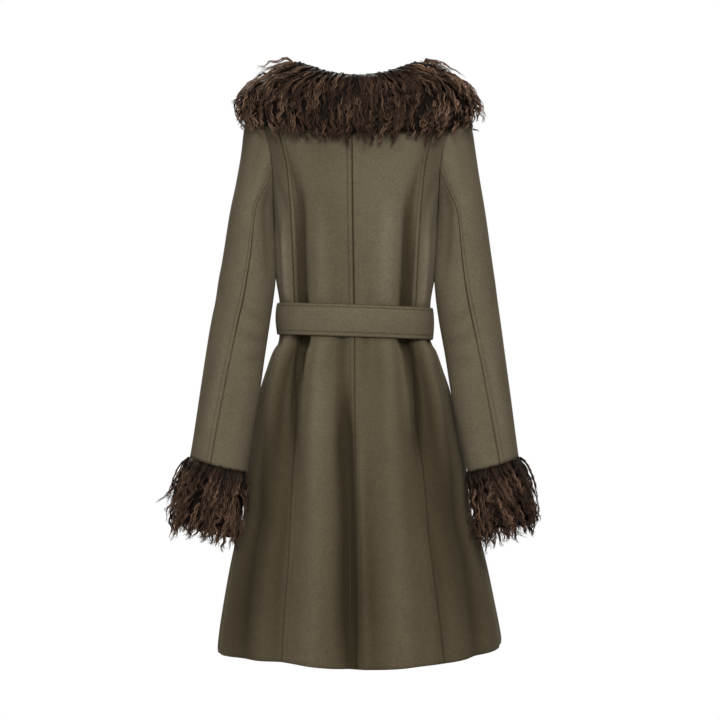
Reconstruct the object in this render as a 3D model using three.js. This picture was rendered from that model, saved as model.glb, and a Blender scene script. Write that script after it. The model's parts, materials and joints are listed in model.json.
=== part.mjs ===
/**
 * A knee-length belted coat with princess seams, a shaggy fur collar and shaggy fur cuffs.
 * It is filled out as if worn, and it is hollow: neck, sleeves and hem are open.
 *
 * Millimetres, +Z up. The front faces -Y, the wearer's left is +X. The origin lies where the
 * shoulders carry the coat: on the centre line, level with the back of the neck.
 *
 * Every cloth piece is a wall over one of two skins: the body's, told by turn and height, or a
 * sleeve's, told by turn and share of its length. Turn on the body is 0 at centre back, 90 at
 * the wearer's left side, 180 at centre front. Turn on a sleeve is 0 outside, 90 at the back,
 * 180 beside the body, -90 in front.
 */
import * as THREE from 'three';

// ---- driving dimensions ------------------------------------------------------------------

const CLOTH = 2.5; // thickness of the suede cloth
const SEAM = 0.3; // gap between two pieces at a seam
const SQUARENESS = 2.3; // exponent of the body's rounded sections, 2 is an ellipse

const NECK = { back: -12, point: 12 }; // heights of the neck edge at centre back and shoulder
const SHOULDER_TIP = -35; // height of the outer end of the shoulder seam
const PRINCESS_TOP = -18; // height where the princess seam meets the shoulder seam
const UNDERARM = -226; // height of the bottom of the armhole

const BELT = { middle: -413.5, width: 54, tilt: 0.034, thick: 3, gap: 2.8 };
const LAP = { reach: 60, lift: 3.8, from: 126, to: 150 }; // right front over left front
const KNOT = { width: 58, depth: 26, height: 60 };
const TAIL = { length: 330, gap: 4, splay: 14, out: 5.6, drop: 2 };

const CUFF = { seam: -655, tilt: 12, length: 118, locks: 20, ridge: 0.16, jag: 9, lean: 0.35 };
const COLLAR = { width: 90, locks: 56, ridge: 0.13, jag: 5, clear: 0.5, rise: 3.2, narrow: 0.45 };

/**
 * Body sections: height, half width, depth behind and before the side line, the side line's y,
 * and how far the section's middle hangs to the left.
 */
const SECTIONS = [
  { z: 40, width: 95, back: 52, front: 24, side: 0, middle: 0 },
  { z: 24, width: 96, back: 55, front: 27, side: 0, middle: 0 },
  { z: 12, width: 100, back: 57, front: 32, side: 0, middle: 0 },
  { z: 0, width: 120, back: 62, front: 41, side: 0, middle: 0 },
  { z: -20, width: 153, back: 76, front: 53, side: 0, middle: 0 },
  { z: -35, width: 178, back: 85, front: 62, side: 0, middle: 0 },
  { z: -60, width: 181, back: 95, front: 76, side: 0, middle: 0.2 },
  { z: -90, width: 177, back: 101, front: 90, side: 0, middle: 0.5 },
  { z: -122, width: 168, back: 105, front: 103, side: 0, middle: 0.9 },
  { z: -180, width: 150, back: 106, front: 116, side: 0, middle: 1.6 },
  { z: -226, width: 140, back: 104, front: 119, side: 0, middle: 2.2 },
  { z: -300, width: 135, back: 97, front: 112, side: 0, middle: 2.9 },
  { z: -345, width: 131.5, back: 89, front: 102, side: 0, middle: 3.2 },
  { z: -382, width: 128.5, back: 84, front: 95, side: 0, middle: 3.4 },
  { z: -415, width: 127.5, back: 83, front: 93, side: 0, middle: 3.4 },
  { z: -448, width: 129.5, back: 85, front: 95, side: -2, middle: 3.8 },
  { z: -464, width: 139, back: 91, front: 99, side: -4, middle: 4.2 },
  { z: -496, width: 150, back: 101, front: 106, side: -7, middle: 4.2 },
  { z: -530, width: 160, back: 109, front: 111, side: -10, middle: 3.6 },
  { z: -600, width: 174, back: 119, front: 119, side: -14, middle: 2.2 },
  { z: -668, width: 187, back: 128, front: 127, side: -18, middle: 0.6 },
  { z: -735, width: 194, back: 138, front: 136, side: -18, middle: -0.8 },
  { z: -802, width: 213, back: 147, front: 145, side: -12, middle: -2.4 },
  { z: -887, width: 230, back: 153, front: 152, side: -6, middle: -3.6 },
  { z: -955, width: 241, back: 157, front: 156, side: 0, middle: -5 },
  { z: -990, width: 244, back: 158, front: 157, side: 0, middle: -5.4 },
];

/** Back seams: height, and the x of the left princess seam, centre back and right princess. */
const BACK_SEAMS = [
  { z: -12, left: 156, centre: 9, right: -156 },
  { z: -18, left: 152, centre: 9, right: -152 },
  { z: -60, left: 141, centre: 9, right: -138 },
  { z: -100, left: 130, centre: 8.5, right: -126.5 },
  { z: -155, left: 118, centre: 8, right: -114 },
  { z: -245, left: 111, centre: 7, right: -106 },
  { z: -376, left: 106, centre: 5, right: -99.5 },
  { z: -440, left: 104, centre: 4, right: -97.5 },
  { z: -520, left: 106, centre: 4, right: -101 },
  { z: -612, left: 107, centre: 3.5, right: -107 },
  { z: -687, left: 109, centre: 3.3, right: -113 },
  { z: -792, left: 112, centre: 3, right: -122.5 },
  { z: -911, left: 120.5, centre: 2.7, right: -138 },
  { z: -985, left: 124, centre: 2.5, right: -146 },
];

/** Hem: turn on the body and height, level at the left, rising at the right. */
const HEM = [
  { turn: -180, z: -985 },
  { turn: -135, z: -976 },
  { turn: -90, z: -957 },
  { turn: -63, z: -966 },
  { turn: -41, z: -974 },
  { turn: -13, z: -986 },
  { turn: 0, z: -987.5 },
  { turn: 8, z: -985 },
  { turn: 38, z: -973 },
  { turn: 90, z: -973.5 },
  { turn: 135, z: -979 },
  { turn: 180, z: -985 },
];

/** Front edge: height, and how far it lies on its own side of centre front. */
const FRONT_EDGE = [
  { z: 12, reach: 100 },
  { z: -30, reach: 82 },
  { z: -100, reach: 50 },
  { z: -200, reach: 0 },
  { z: -330, reach: -LAP.reach },
  { z: -990, reach: -LAP.reach },
];

/** Armhole: turn on the sleeve, and how far it cuts in from the side of back and front. */
const ARMHOLE = [
  { turn: 0, back: 0, front: 0 },
  { turn: 22, back: 15, front: 18 },
  { turn: 42, back: 25, front: 29 },
  { turn: 65, back: 31, front: 37 },
  { turn: 85, back: 32, front: 40 },
  { turn: 102, back: 29, front: 38 },
  { turn: 121, back: 23, front: 33 },
  { turn: 149, back: 12.5, front: 18 },
  { turn: 180, back: 0, front: 0 },
];

/** Sleeve sections: height, x beside the body and outside on each side, half depth, middle's y. */
const SLEEVE = [
  { z: -35, innerLeft: 105, outerLeft: 174, innerRight: 105, outerRight: 178, depth: 30, y: 0 },
  { z: -88, innerLeft: 96, outerLeft: 190.5, innerRight: 96, outerRight: 196.5, depth: 52, y: 0 },
  { z: -122, innerLeft: 101, outerLeft: 196, innerRight: 101, outerRight: 201.5, depth: 58, y: 0 },
  { z: -180, innerLeft: 125, outerLeft: 206, innerRight: 122, outerRight: 210, depth: 62, y: 2 },
  { z: -226, innerLeft: 143.2, outerLeft: 215.5, innerRight: 138.8, outerRight: 217.5, depth: 62, y: 5 },
  { z: -309, innerLeft: 139.9, outerLeft: 228.5, innerRight: 134.1, outerRight: 229, depth: 58, y: 9 },
  { z: -345, innerLeft: 140, outerLeft: 235, innerRight: 132.8, outerRight: 234, depth: 57, y: 12 },
  { z: -377, innerLeft: 142, outerLeft: 239.5, innerRight: 134, outerRight: 238, depth: 56, y: 15 },
  { z: -411, innerLeft: 146.5, outerLeft: 246, innerRight: 138, outerRight: 242.5, depth: 55, y: 19 },
  { z: -462, innerLeft: 154, outerLeft: 254, innerRight: 147, outerRight: 249, depth: 53, y: 24 },
  { z: -547, innerLeft: 167, outerLeft: 266.5, innerRight: 161, outerRight: 260, depth: 51, y: 33 },
  { z: -615, innerLeft: 179, outerLeft: 276.5, innerRight: 175.5, outerRight: 268.5, depth: 49, y: 41 },
  { z: -668, innerLeft: 187, outerLeft: 285, innerRight: 186.5, outerRight: 275, depth: 48, y: 50 },
  { z: -735, innerLeft: 199, outerLeft: 293, innerRight: 202, outerRight: 281, depth: 47, y: 61 },
  { z: -820, innerLeft: 210, outerLeft: 304, innerRight: 216, outerRight: 291, depth: 46, y: 72 },
];
const SLEEVE_SEAM = { back: 108, front: -126 }; // turns of the two lengthwise sleeve seams
const SLEEVE_LEAN = { turn: 30, bend: 0.7 }; // how far the back seam leans outward by the cuff
const HEAD_EASE = 110; // length over which the sleeve head eases from armhole to tube
const HEAD_RIDGE = 1.4; // extra gap where the sleeve head folds over the shoulder tip

/** Collar, half way round: turn on the body, height of its neck edge and of its outer edge. */
const COLLAR_EDGES = [
  { share: 0, turn: 0, neck: -3, outer: -113 },
  { share: 0.1, turn: 22, neck: 3.5, outer: -111 },
  { share: 0.2, turn: 42, neck: 12.5, outer: -105 },
  { share: 0.32, turn: 66, neck: 22, outer: -88 },
  { share: 0.44, turn: 90, neck: 27, outer: -67 },
  { share: 0.54, turn: 112, neck: 21, outer: -84 },
  { share: 0.64, turn: 134, neck: 2, outer: -130 },
  { share: 0.74, turn: 152, neck: -28, outer: -180 },
  { share: 0.84, turn: 164, neck: -92, outer: -222 },
  { share: 0.92, turn: 171, neck: -142, outer: -246 },
  { share: 1, turn: 178, neck: -196, outer: -268 },
];

/** Fur depth over its hide, down the collar and down a cuff. */
const FUR = [
  { down: 0, collar: 5, cuff: 2.5 },
  { down: 0.15, collar: 14, cuff: 11 },
  { down: 0.4, collar: 21, cuff: 16 },
  { down: 0.7, collar: 22, cuff: 17.5 },
  { down: 0.9, collar: 17, cuff: 15 },
  { down: 1, collar: 8, cuff: 9 },
];

/** How far the sleeve heads stand out past the body's own section. */
const SLEEVE_HEADS = [
  { z: 0, out: 0 },
  { z: -20, out: 2 },
  { z: -40, out: 4 },
  { z: -60, out: 8 },
  { z: -75, out: 14 },
  { z: -90, out: 19.5 },
  { z: -110, out: 27 },
  { z: -150, out: 38 },
];

/**
 * Folds of the body cloth: turn at its top and foot, heights of both, half spread in degrees,
 * and how far out the cloth stands there (below zero is a trough).
 */
const FOLDS = [
  { top: 42, foot: 43, from: -170, to: -400, spread: 5, start: -2, end: -5 },
  { top: -40, foot: -40, from: -170, to: -400, spread: 5, start: -2, end: -5 },
  { top: 20, foot: 24, from: -250, to: -395, spread: 8, start: 0, end: 2 },
  { top: -18, foot: -22, from: -250, to: -395, spread: 8, start: 0, end: 2 },
  { top: 39, foot: 30, from: -452, to: -560, spread: 5, start: -9, end: -3 },
  { top: -36, foot: -30, from: -452, to: -560, spread: 5, start: -9, end: -3 },
  { top: 21, foot: 14, from: -500, to: -990, spread: 8, start: 4, end: 7 },
  { top: -18, foot: -11, from: -500, to: -990, spread: 7, start: 3, end: 8 },
  { top: 3, foot: 2, from: -620, to: -990, spread: 5, start: -3, end: -13 },
  { top: 62, foot: 56, from: -620, to: -990, spread: 8, start: -3, end: -6 },
  { top: -60, foot: -53, from: -620, to: -990, spread: 8, start: -2, end: -8 },
  { top: 50, foot: 38, from: -500, to: -990, spread: 7, start: 2, end: 5 },
  { top: 122, foot: 130, from: -455, to: -780, spread: 7, start: -7, end: -3 },
  { top: -118, foot: -128, from: -455, to: -700, spread: 6, start: -8, end: -2 },
  { top: 140, foot: 143, from: -460, to: -990, spread: 7, start: -5, end: -9 },
  { top: -136, foot: -141, from: -460, to: -990, spread: 7, start: -4, end: -10 },
  { top: 104, foot: 112, from: -560, to: -990, spread: 8, start: 2, end: 6 },
  { top: 136, foot: 134, from: -260, to: -395, spread: 6, start: -1, end: -4 },
  { top: -134, foot: -136, from: -240, to: -395, spread: 6, start: -1, end: -5 },
];
const FOLD_FADE = 45; // length over which a fold dies away past its ends
const FLAT_FRONT = { from: 142, to: 154 }; // turns between which the folds die away

/** Level lines of the body cloth from hem to underarm, close together where it flares. */
const LEVELS = [
  -975, -925, -872, -820, -768, -716, -664, -612, -560, -512, -476, -450, -416, -368, -300, UNDERARM,
];
const ARM_ROWS = 10; // rows of cloth beside the armhole
const COLUMNS = { centre: 8, side: 7, front: 13 }; // columns of the cloth pieces of the body
const SLEEVE_STEP = 18; // degrees between two columns of a sleeve
const SLEEVE_GAP = 0.26; // half a seam of a sleeve, in degrees
const SLEEVE_ROWS = 12;

// ---- small helpers -----------------------------------------------------------------------

const radians = THREE.MathUtils.degToRad;
const { lerp, clamp, smoothstep } = THREE.MathUtils;

/** Degrees from one turn to another the short way, between -180 and 180. */
const between = (turn, from) => ((((turn - from + 180) % 360) + 360) % 360) - 180;

/** Smooth curve through one column of a table, without overshoot, straight past both ends. */
function curve(table, place, column) {
  const rows = [...table].sort((a, b) => a[place] - b[place]);
  const at = rows.map((row) => row[place]);
  const value = rows.map((row) => row[column]);
  const rise = at.slice(1).map((x, i) => (value[i + 1] - value[i]) / (x - at[i]));
  const slope = at.map((_, i) => {
    if (i === 0) return rise[0];
    if (i === at.length - 1) return rise[i - 1];
    const turns = rise[i - 1] * rise[i] <= 0;
    return turns ? 0 : (2 * rise[i - 1] * rise[i]) / (rise[i - 1] + rise[i]);
  });
  const last = at.length - 1;
  return (x) => {
    if (x <= at[0]) return value[0] + slope[0] * (x - at[0]);
    if (x >= at[last]) return value[last] + slope[last] * (x - at[last]);
    const i = at.findIndex((end) => end > x) - 1;
    const span = at[i + 1] - at[i];
    const t = (x - at[i]) / span;
    const bend = t * t * (3 - 2 * t);
    const leave = t * (1 - t) * (1 - t) * slope[i] * span;
    const arrive = t * t * (t - 1) * slope[i + 1] * span;
    return lerp(value[i], value[i + 1], bend) + leave + arrive;
  };
}

/** Point of a skin moved out along its normal; the skin is a function of two parameters. */
function offset(skin, a, b, out, stepA, stepB) {
  const alongA = skin(a + stepA, b).sub(skin(a - stepA, b));
  const alongB = skin(a, b + stepB).sub(skin(a, b - stepB));
  return skin(a, b).addScaledVector(alongA.cross(alongB).normalize(), out);
}

/** Closed solid between two grids of points, either a sheet or a tube that is round. */
function wall({ columns, rows, outer, inner, round = false }) {
  const across = round ? columns : columns + 1;
  const layer = across * (rows + 1);
  const positions = [];
  for (const face of [outer, inner]) {
    for (let row = 0; row <= rows; row++) {
      for (let column = 0; column < across; column++) {
        positions.push(...face(column / columns, row / rows).toArray());
      }
    }
  }
  const spot = (side, row, column) => side * layer + row * across + (column % across);
  const faces = [];
  const quad = (a, b, c, d) => faces.push(a, b, c, a, c, d);
  for (let column = 0; column < columns; column++) {
    const next = column + 1;
    for (let row = 0; row < rows; row++) {
      quad(spot(0, row, column), spot(0, row, next), spot(0, row + 1, next), spot(0, row + 1, column));
      quad(spot(1, row, column), spot(1, row + 1, column), spot(1, row + 1, next), spot(1, row, next));
    }
    quad(spot(1, 0, column), spot(1, 0, next), spot(0, 0, next), spot(0, 0, column));
    quad(spot(0, rows, column), spot(0, rows, next), spot(1, rows, next), spot(1, rows, column));
  }
  for (let row = 0; row < rows && !round; row++) {
    quad(spot(1, row, 0), spot(0, row, 0), spot(0, row + 1, 0), spot(1, row + 1, 0));
    const end = columns;
    quad(spot(0, row, end), spot(1, row, end), spot(1, row + 1, end), spot(0, row + 1, end));
  }
  return closed(positions, faces);
}

/** Geometry of a closed body, its faces turned to look out. */
function closed(positions, faces) {
  const corner = (i) => new THREE.Vector3().fromArray(positions, 3 * i);
  let volume = 0;
  for (let i = 0; i < faces.length; i += 3) {
    volume += corner(faces[i]).dot(corner(faces[i + 1]).cross(corner(faces[i + 2])));
  }
  const geometry = new THREE.BufferGeometry();
  geometry.setAttribute('position', new THREE.Float32BufferAttribute(positions, 3));
  geometry.setIndex(volume > 0 ? faces : faces.reverse());
  geometry.computeVertexNormals();
  return geometry;
}

// ---- the body's skin ---------------------------------------------------------------------

const width = curve(SECTIONS, 'z', 'width');
const back = curve(SECTIONS, 'z', 'back');
const front = curve(SECTIONS, 'z', 'front');
const sideLine = curve(SECTIONS, 'z', 'side');
const middle = curve(SECTIONS, 'z', 'middle');

const rounded = (s) => Math.sign(s) * Math.abs(s) ** (2 / SQUARENESS);

/** How far the folds move the skin out at a turn and height. */
function foldAt(turn, z) {
  let out = 0;
  for (const fold of FOLDS) {
    const share = (fold.from - z) / (fold.from - fold.to);
    const middle = lerp(fold.top, fold.foot, clamp(share, 0, 1));
    const aside = between(turn, middle) / fold.spread;
    const begun = 1 - smoothstep(z, fold.from, fold.from + FOLD_FADE);
    const lasting = smoothstep(z, fold.to - FOLD_FADE, fold.to);
    const height = lerp(fold.start, fold.end, clamp(share, 0, 1));
    out += height * begun * lasting * Math.exp(-aside * aside);
  }
  return out * (1 - smoothstep(Math.abs(between(turn, 0)), FLAT_FRONT.from, FLAT_FRONT.to));
}

/** Body skin: a rounded section at each height, with its folds. */
function bodySkin(turn, z) {
  const angle = radians(turn);
  const across = rounded(Math.sin(angle));
  const along = rounded(Math.cos(angle));
  const side = sideLine(z);
  const depth = along > 0 ? back(z) - side : front(z) + side;
  const out = foldAt(turn, z);
  const lean = Math.hypot(across, along);
  return new THREE.Vector3(
    middle(z) + width(z) * across + (out * across) / lean,
    side + depth * along + (out * along) / lean,
    z,
  );
}

const body = (turn, z, out = 0) => offset(bodySkin, turn, z, -out, 0.05, 0.5);

/** Turn of the back skin at an x and height. */
function turnAt(x, z) {
  const aside = x - middle(z);
  const share = clamp(Math.abs(aside) / width(z), 0, 1) ** (SQUARENESS / 2);
  return THREE.MathUtils.radToDeg(Math.asin(share)) * Math.sign(aside);
}

const hem = curve(HEM, 'turn', 'z');

// ---- seams and edges of the body, from hem (0) to shoulder seam (1) ----------------------

const ROWS = LEVELS.length - 1 + ARM_ROWS;
const LOW = (LEVELS.length - 1) / ROWS; // share of the rows below the underarm
const SIDE_GAP = 0.06; // half a seam at the side, in degrees
const ARM_GAP = 0.14; // half a seam at the armhole, in degrees

const armTable = { back: curve(ARMHOLE, 'turn', 'back'), front: curve(ARMHOLE, 'turn', 'front') };

/** Height of the armhole at a turn on the sleeve. */
const armHeight = (turn) =>
  lerp(UNDERARM, SHOULDER_TIP, (1 + Math.cos(radians(turn))) / 2);

/** Turn on the body's left side where the armhole lies, for a turn on the sleeve. */
const armTurn = (turn) =>
  turn > 0 ? 90 - armTable.back(turn) : 90 + armTable.front(-turn);

/** A seam or edge: below the underarm it runs level with the others, above it goes its own way. */
function edge(lowTurn, highPlace) {
  return (v) => {
    const row = Math.round(v * ROWS);
    if (v > LOW) return highPlace((v - LOW) / (1 - LOW));
    const turn = lowTurn(LEVELS[row]);
    return { turn, z: row === 0 ? hem(between(turn, 0)) : LEVELS[row] };
  };
}

/** Side seam, then the armhole: face is 1 for the back, -1 for the front. */
function sideEdge(side, face) {
  const gap = SIDE_GAP * face;
  return edge(
    () => side * (90 - gap),
    (t) => {
      const turn = 180 * (1 - t) * face;
      return { turn: side * (armTurn(turn) - ARM_GAP * face), z: armHeight(turn) };
    },
  );
}

/** Princess seam of the back; inward is 1 for its side piece, -1 for its centre piece. */
function princessEdge(side, inward) {
  const place = curve(BACK_SEAMS, 'z', side > 0 ? 'left' : 'right');
  const half = (z) => (SEAM / 2) * (1 + smoothstep(z, -60, -30));
  const limit = 90 - SIDE_GAP;
  const turn = (z) => clamp(turnAt(place(z) + side * inward * half(z), z), -limit, limit);
  return edge(turn, (t) => {
    const top = PRINCESS_TOP - inward * SEAM;
    const z = lerp(UNDERARM, top, (1 - Math.cos(Math.PI * t)) / 2);
    return { turn: turn(z), z };
  });
}

/** Centre back seam, then the neck edge round to the shoulder seam. */
function centreEdge(side) {
  const place = curve(BACK_SEAMS, 'z', 'centre');
  const turn = (z) => turnAt(place(z) + (side * SEAM) / 2, z);
  return edge(turn, (t) => {
    if (t <= 0.5) {
      const z = lerp(UNDERARM, NECK.back, t / 0.5);
      return { turn: turn(z), z };
    }
    const round = (t - 0.5) / 0.5;
    const z = lerp(NECK.back, NECK.point, round * round);
    return { turn: lerp(turn(NECK.back), side * (90 - SIDE_GAP), round), z };
  });
}

/** Front edge with its lap, then the sloping neck edge up to the shoulder seam. */
function frontEdge(side) {
  const reach = curve(FRONT_EDGE, 'z', 'reach');
  const turn = (z) => side * Math.max(180 - turnAt(middle(z) + reach(z), z), 90 + SIDE_GAP);
  return edge(turn, (t) => {
    const z = lerp(UNDERARM, NECK.point, t);
    return { turn: turn(z), z };
  });
}

/** Cloth piece of the body between two edges; lift moves it out over what it laps. */
function bodyPiece(from, to, columns, lift = () => 0) {
  const place = (u, v, depth) => {
    const a = from(v);
    const b = to(v);
    const turn = lerp(a.turn, b.turn, u);
    const z = lerp(a.z, b.z, u);
    return body(turn, z, lift(turn) - depth);
  };
  return wall({
    columns,
    rows: ROWS,
    outer: (u, v) => place(u, v, 0),
    inner: (u, v) => place(u, v, CLOTH),
  });
}

/** The right front lies over the left one round centre front. */
const lapLift = (turn) => LAP.lift * smoothstep(Math.abs(turn), LAP.from, LAP.to);

// ---- the sleeves' skin -------------------------------------------------------------------

const sleeveEdges = {
  left: { inner: curve(SLEEVE, 'z', 'innerLeft'), outer: curve(SLEEVE, 'z', 'outerLeft') },
  right: { inner: curve(SLEEVE, 'z', 'innerRight'), outer: curve(SLEEVE, 'z', 'outerRight') },
};
const sleeveDepth = curve(SLEEVE, 'z', 'depth');
const sleeveMiddle = curve(SLEEVE, 'z', 'y');

/** Tube of a sleeve: an ellipse at each height, its x counted outward from the coat's middle. */
function tube(side, turn, z) {
  const angle = radians(turn);
  const edges = side > 0 ? sleeveEdges.left : sleeveEdges.right;
  const half = (edges.outer(z) - edges.inner(z)) / 2;
  return new THREE.Vector3(
    edges.inner(z) + half + half * Math.cos(angle),
    sleeveMiddle(z) + sleeveDepth(z) * Math.sin(angle),
    z,
  );
}

const cuffSeamAt = (turn) => CUFF.seam + CUFF.tilt * Math.cos(radians(turn));

/** Sleeve skin: from the armhole (0) to the cuff seam (1), easing into the tube. */
function sleeveSkin(side, turn, share) {
  const round = between(turn, 0);
  const top = armHeight(round) - SEAM - HEAD_RIDGE * Math.max(0, Math.cos(radians(turn)));
  const z = lerp(top, cuffSeamAt(turn) + SEAM / 2, share);
  const away = SEAM * (1 - Math.cos(radians(turn)));
  const start = body(side * armTurn(round), armHeight(round), away).setZ(top);
  start.x *= side;
  const ease = 1 - smoothstep(top - z, 0, HEAD_EASE);
  return tube(side, turn, z).addScaledVector(start.sub(tube(side, turn, top)), ease);
}

/** The back seam leans outward toward the cuff, and the turns on both sides follow it. */
function sleeveTurn(turn, share) {
  const { back: seam, front: start } = SLEEVE_SEAM;
  const end = start + 360;
  const near = turn > seam ? (end - turn) / (end - seam) : (turn - start) / (seam - start);
  return turn - SLEEVE_LEAN.turn * smoothstep(share, 0, 1) ** SLEEVE_LEAN.bend * clamp(near, 0, 1);
}

/** Sleeve piece between two turns of the armhole. */
function sleevePiece(side, from, to) {
  const place = (u, v, out) => {
    const turn = sleeveTurn(lerp(from + SLEEVE_GAP, to - SLEEVE_GAP, u), v);
    const skin = (a, b) => sleeveSkin(side, a, b);
    const point = offset(skin, turn, v, -out, 0.05, 0.0005);
    return point.setX(side * point.x);
  };
  return wall({
    columns: Math.round((to - from) / SLEEVE_STEP),
    rows: SLEEVE_ROWS,
    outer: (u, v) => place(u, v, 0),
    inner: (u, v) => place(u, v, -CLOTH),
  });
}

// ---- fur ---------------------------------------------------------------------------------

const collarFur = curve(FUR, 'down', 'collar');
const cuffFur = curve(FUR, 'down', 'cuff');

/** Uneven measure between -1 and 1 that repeats after one turn round, for locks of fur. */
function uneven(u) {
  const slow = Math.sin(2 * Math.PI * (3 * u + 0.1));
  const quick = Math.sin(2 * Math.PI * (7 * u + 0.6));
  return 0.6 * slow + 0.4 * quick;
}

/** Every other column of a fur piece is the ridge of a lock, the next one the parting. */
const lockAt = (u, locks) => Math.cos(2 * Math.PI * locks * u);

/** Left or right fur cuff: a plain tube inside, locks with ragged tips outside. */
function furCuff(side) {
  const length = (u) => CUFF.length + CUFF.jag * (0.6 * lockAt(u, CUFF.locks) + uneven(u));
  const place = (u, v, fur) => {
    const turn = 360 * u;
    const z = cuffSeamAt(turn) - SEAM / 2 - length(u) * v;
    const lock = 1 + CUFF.ridge * lockAt(u, CUFF.locks) * smoothstep(v, 0, 0.3);
    const fuller = 1 + CUFF.lean * Math.cos(radians(turn));
    const skin = (a, b) => tube(side, a, b);
    const point = offset(skin, turn, z, fur ? cuffFur(v) * lock * fuller : -CLOTH, 0.05, 0.5);
    return point.setX(side * point.x);
  };
  return wall({
    columns: 2 * CUFF.locks,
    rows: 6,
    round: true,
    outer: (u, v) => place(u, v, true),
    inner: (u, v) => place(u, v, false),
  });
}

const collarTurn = curve(COLLAR_EDGES, 'share', 'turn');
const collarNeck = curve(COLLAR_EDGES, 'share', 'neck');
const collarOuter = curve(COLLAR_EDGES, 'share', 'outer');
const sleeveHeads = curve(SLEEVE_HEADS, 'z', 'out');

/** Fur collar: round the neck, over both shoulders and down the front edges. */
function furCollar() {
  const hide = (round, down) => {
    const share = Math.abs(round);
    const turn = collarTurn(share) * Math.sign(round);
    const z = lerp(collarNeck(share), collarOuter(share), down);
    const over = Math.max(0, sleeveHeads(z)) * Math.abs(Math.sin(radians(turn))) ** 8;
    const clear = COLLAR.clear + COLLAR.rise * smoothstep(down, 0, 0.35);
    return body(turn, z, clear + over + lapLift(turn));
  };
  const place = (u, v, fur) => {
    const round = 2 * u - 1;
    const jag = COLLAR.jag * (0.6 * lockAt(u, COLLAR.locks) + uneven(u)) * v * v;
    const down = v + jag / COLLAR.width;
    const lock = 1 + COLLAR.ridge * lockAt(u, COLLAR.locks) * smoothstep(v, 0, 0.3);
    const narrow = 1 - COLLAR.narrow * smoothstep(Math.abs(round), 0.7, 1);
    return offset(hide, round, down, fur ? collarFur(v) * lock * narrow : 0, 0.002, 0.01);
  };
  return wall({
    columns: 2 * COLLAR.locks,
    rows: 6,
    outer: (u, v) => place(u, v, true),
    inner: (u, v) => place(u, v, false),
  });
}

// ---- belt --------------------------------------------------------------------------------

/** Point of the belt: turn round the waist, height above its middle, distance out. */
function beltPoint(turn, height, out) {
  const overLap = LAP.lift * smoothstep(Math.abs(turn), LAP.from - 26, LAP.to - 10);
  const base = body(turn, BELT.middle, BELT.gap + overLap + out);
  return base.setZ(BELT.middle + BELT.tilt * base.x + height);
}

function belt() {
  const place = (u, v, out) => {
    const bow = 0.8 * Math.sin(Math.PI * v);
    return beltPoint(360 * u - 180, BELT.width * (v - 0.5), out + bow);
  };
  return wall({
    columns: 56,
    rows: 2,
    round: true,
    outer: (u, v) => place(u, v, BELT.thick),
    inner: (u, v) => place(u, v, 0),
  });
}

/** Knot of the belt at centre front: a rounded block against the belt. */
function beltKnot() {
  const knot = new THREE.SphereGeometry(0.5, 16, 10);
  knot.deleteAttribute('uv');
  const spots = knot.getAttribute('position');
  const square = (s) => Math.sign(s) * Math.abs(2 * s) ** 0.7 * 0.5;
  for (let i = 0; i < spots.count; i++) {
    const x = square(spots.getX(i)) * KNOT.width;
    const y = square(spots.getZ(i)) * KNOT.depth;
    const z = square(spots.getY(i)) * KNOT.height;
    spots.setXYZ(i, x, -y, z);
  }
  const seat = beltPoint(180, 0, BELT.thick + 0.8).y - SEAM - KNOT.depth / 2;
  knot.translate(middle(BELT.middle), seat, BELT.middle);
  return knot;
}

/** Hanging end of the belt, beside the other one, a strip over the front. */
function beltTail(side) {
  const place = (u, v, out) => {
    const along = side * (BELT.width / 2 + TAIL.gap / 2 + TAIL.splay * v);
    const x = middle(BELT.middle) + along + (u - 0.5) * BELT.width;
    const top = BELT.middle + BELT.tilt * x - BELT.width / 2 - TAIL.drop;
    const z = top - TAIL.length * v;
    const twist = 1.6 * Math.sin(2 * Math.PI * (v + 0.25 * side)) * (u - 0.5);
    return body(180 - turnAt(x, z), z, TAIL.out + twist + out);
  };
  return wall({
    columns: 3,
    rows: 9,
    outer: (u, v) => place(u, v, BELT.thick),
    inner: (u, v) => place(u, v, 0),
  });
}

// ---- the coat ----------------------------------------------------------------------------

const suede = (shade) => new THREE.MeshStandardMaterial({ color: shade, roughness: 0.95, metalness: 0 });
const fur = (shade) => new THREE.MeshStandardMaterial({ color: shade, roughness: 0.9, metalness: 0 });

const coat = new THREE.Group();

function add(name, geometry, material) {
  const mesh = new THREE.Mesh(geometry, material);
  mesh.name = name;
  coat.add(mesh);
}

for (const [name, side] of [['left', 1], ['right', -1]]) {
  const centre = bodyPiece(centreEdge(side), princessEdge(side, -1), COLUMNS.centre);
  const backSide = bodyPiece(princessEdge(side, 1), sideEdge(side, 1), COLUMNS.side);
  const over = side < 0 ? lapLift : undefined;
  const frontHalf = bodyPiece(sideEdge(side, -1), frontEdge(side), COLUMNS.front, over);
  add(`back_centre_${name}`, centre, suede('#5c5443'));
  add(`back_side_${name}`, backSide, suede('#5a5241'));
  add(`front_${name}`, frontHalf, suede('#5c5443'));
  add(`sleeve_upper_${name}`, sleevePiece(side, SLEEVE_SEAM.front, SLEEVE_SEAM.back), suede('#625a48'));
  add(`sleeve_under_${name}`, sleevePiece(side, SLEEVE_SEAM.back, 360 + SLEEVE_SEAM.front), suede('#5f5745'));
  add(`fur_cuff_${name}`, furCuff(side), fur('#30231b'));
  add(`belt_tail_${name}`, beltTail(side), suede('#63593f'));
}
add('fur_collar', furCollar(), fur('#32251c'));
add('belt', belt(), suede('#635945'));
add('belt_knot', beltKnot(), suede('#635945'));

export default coat;
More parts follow.
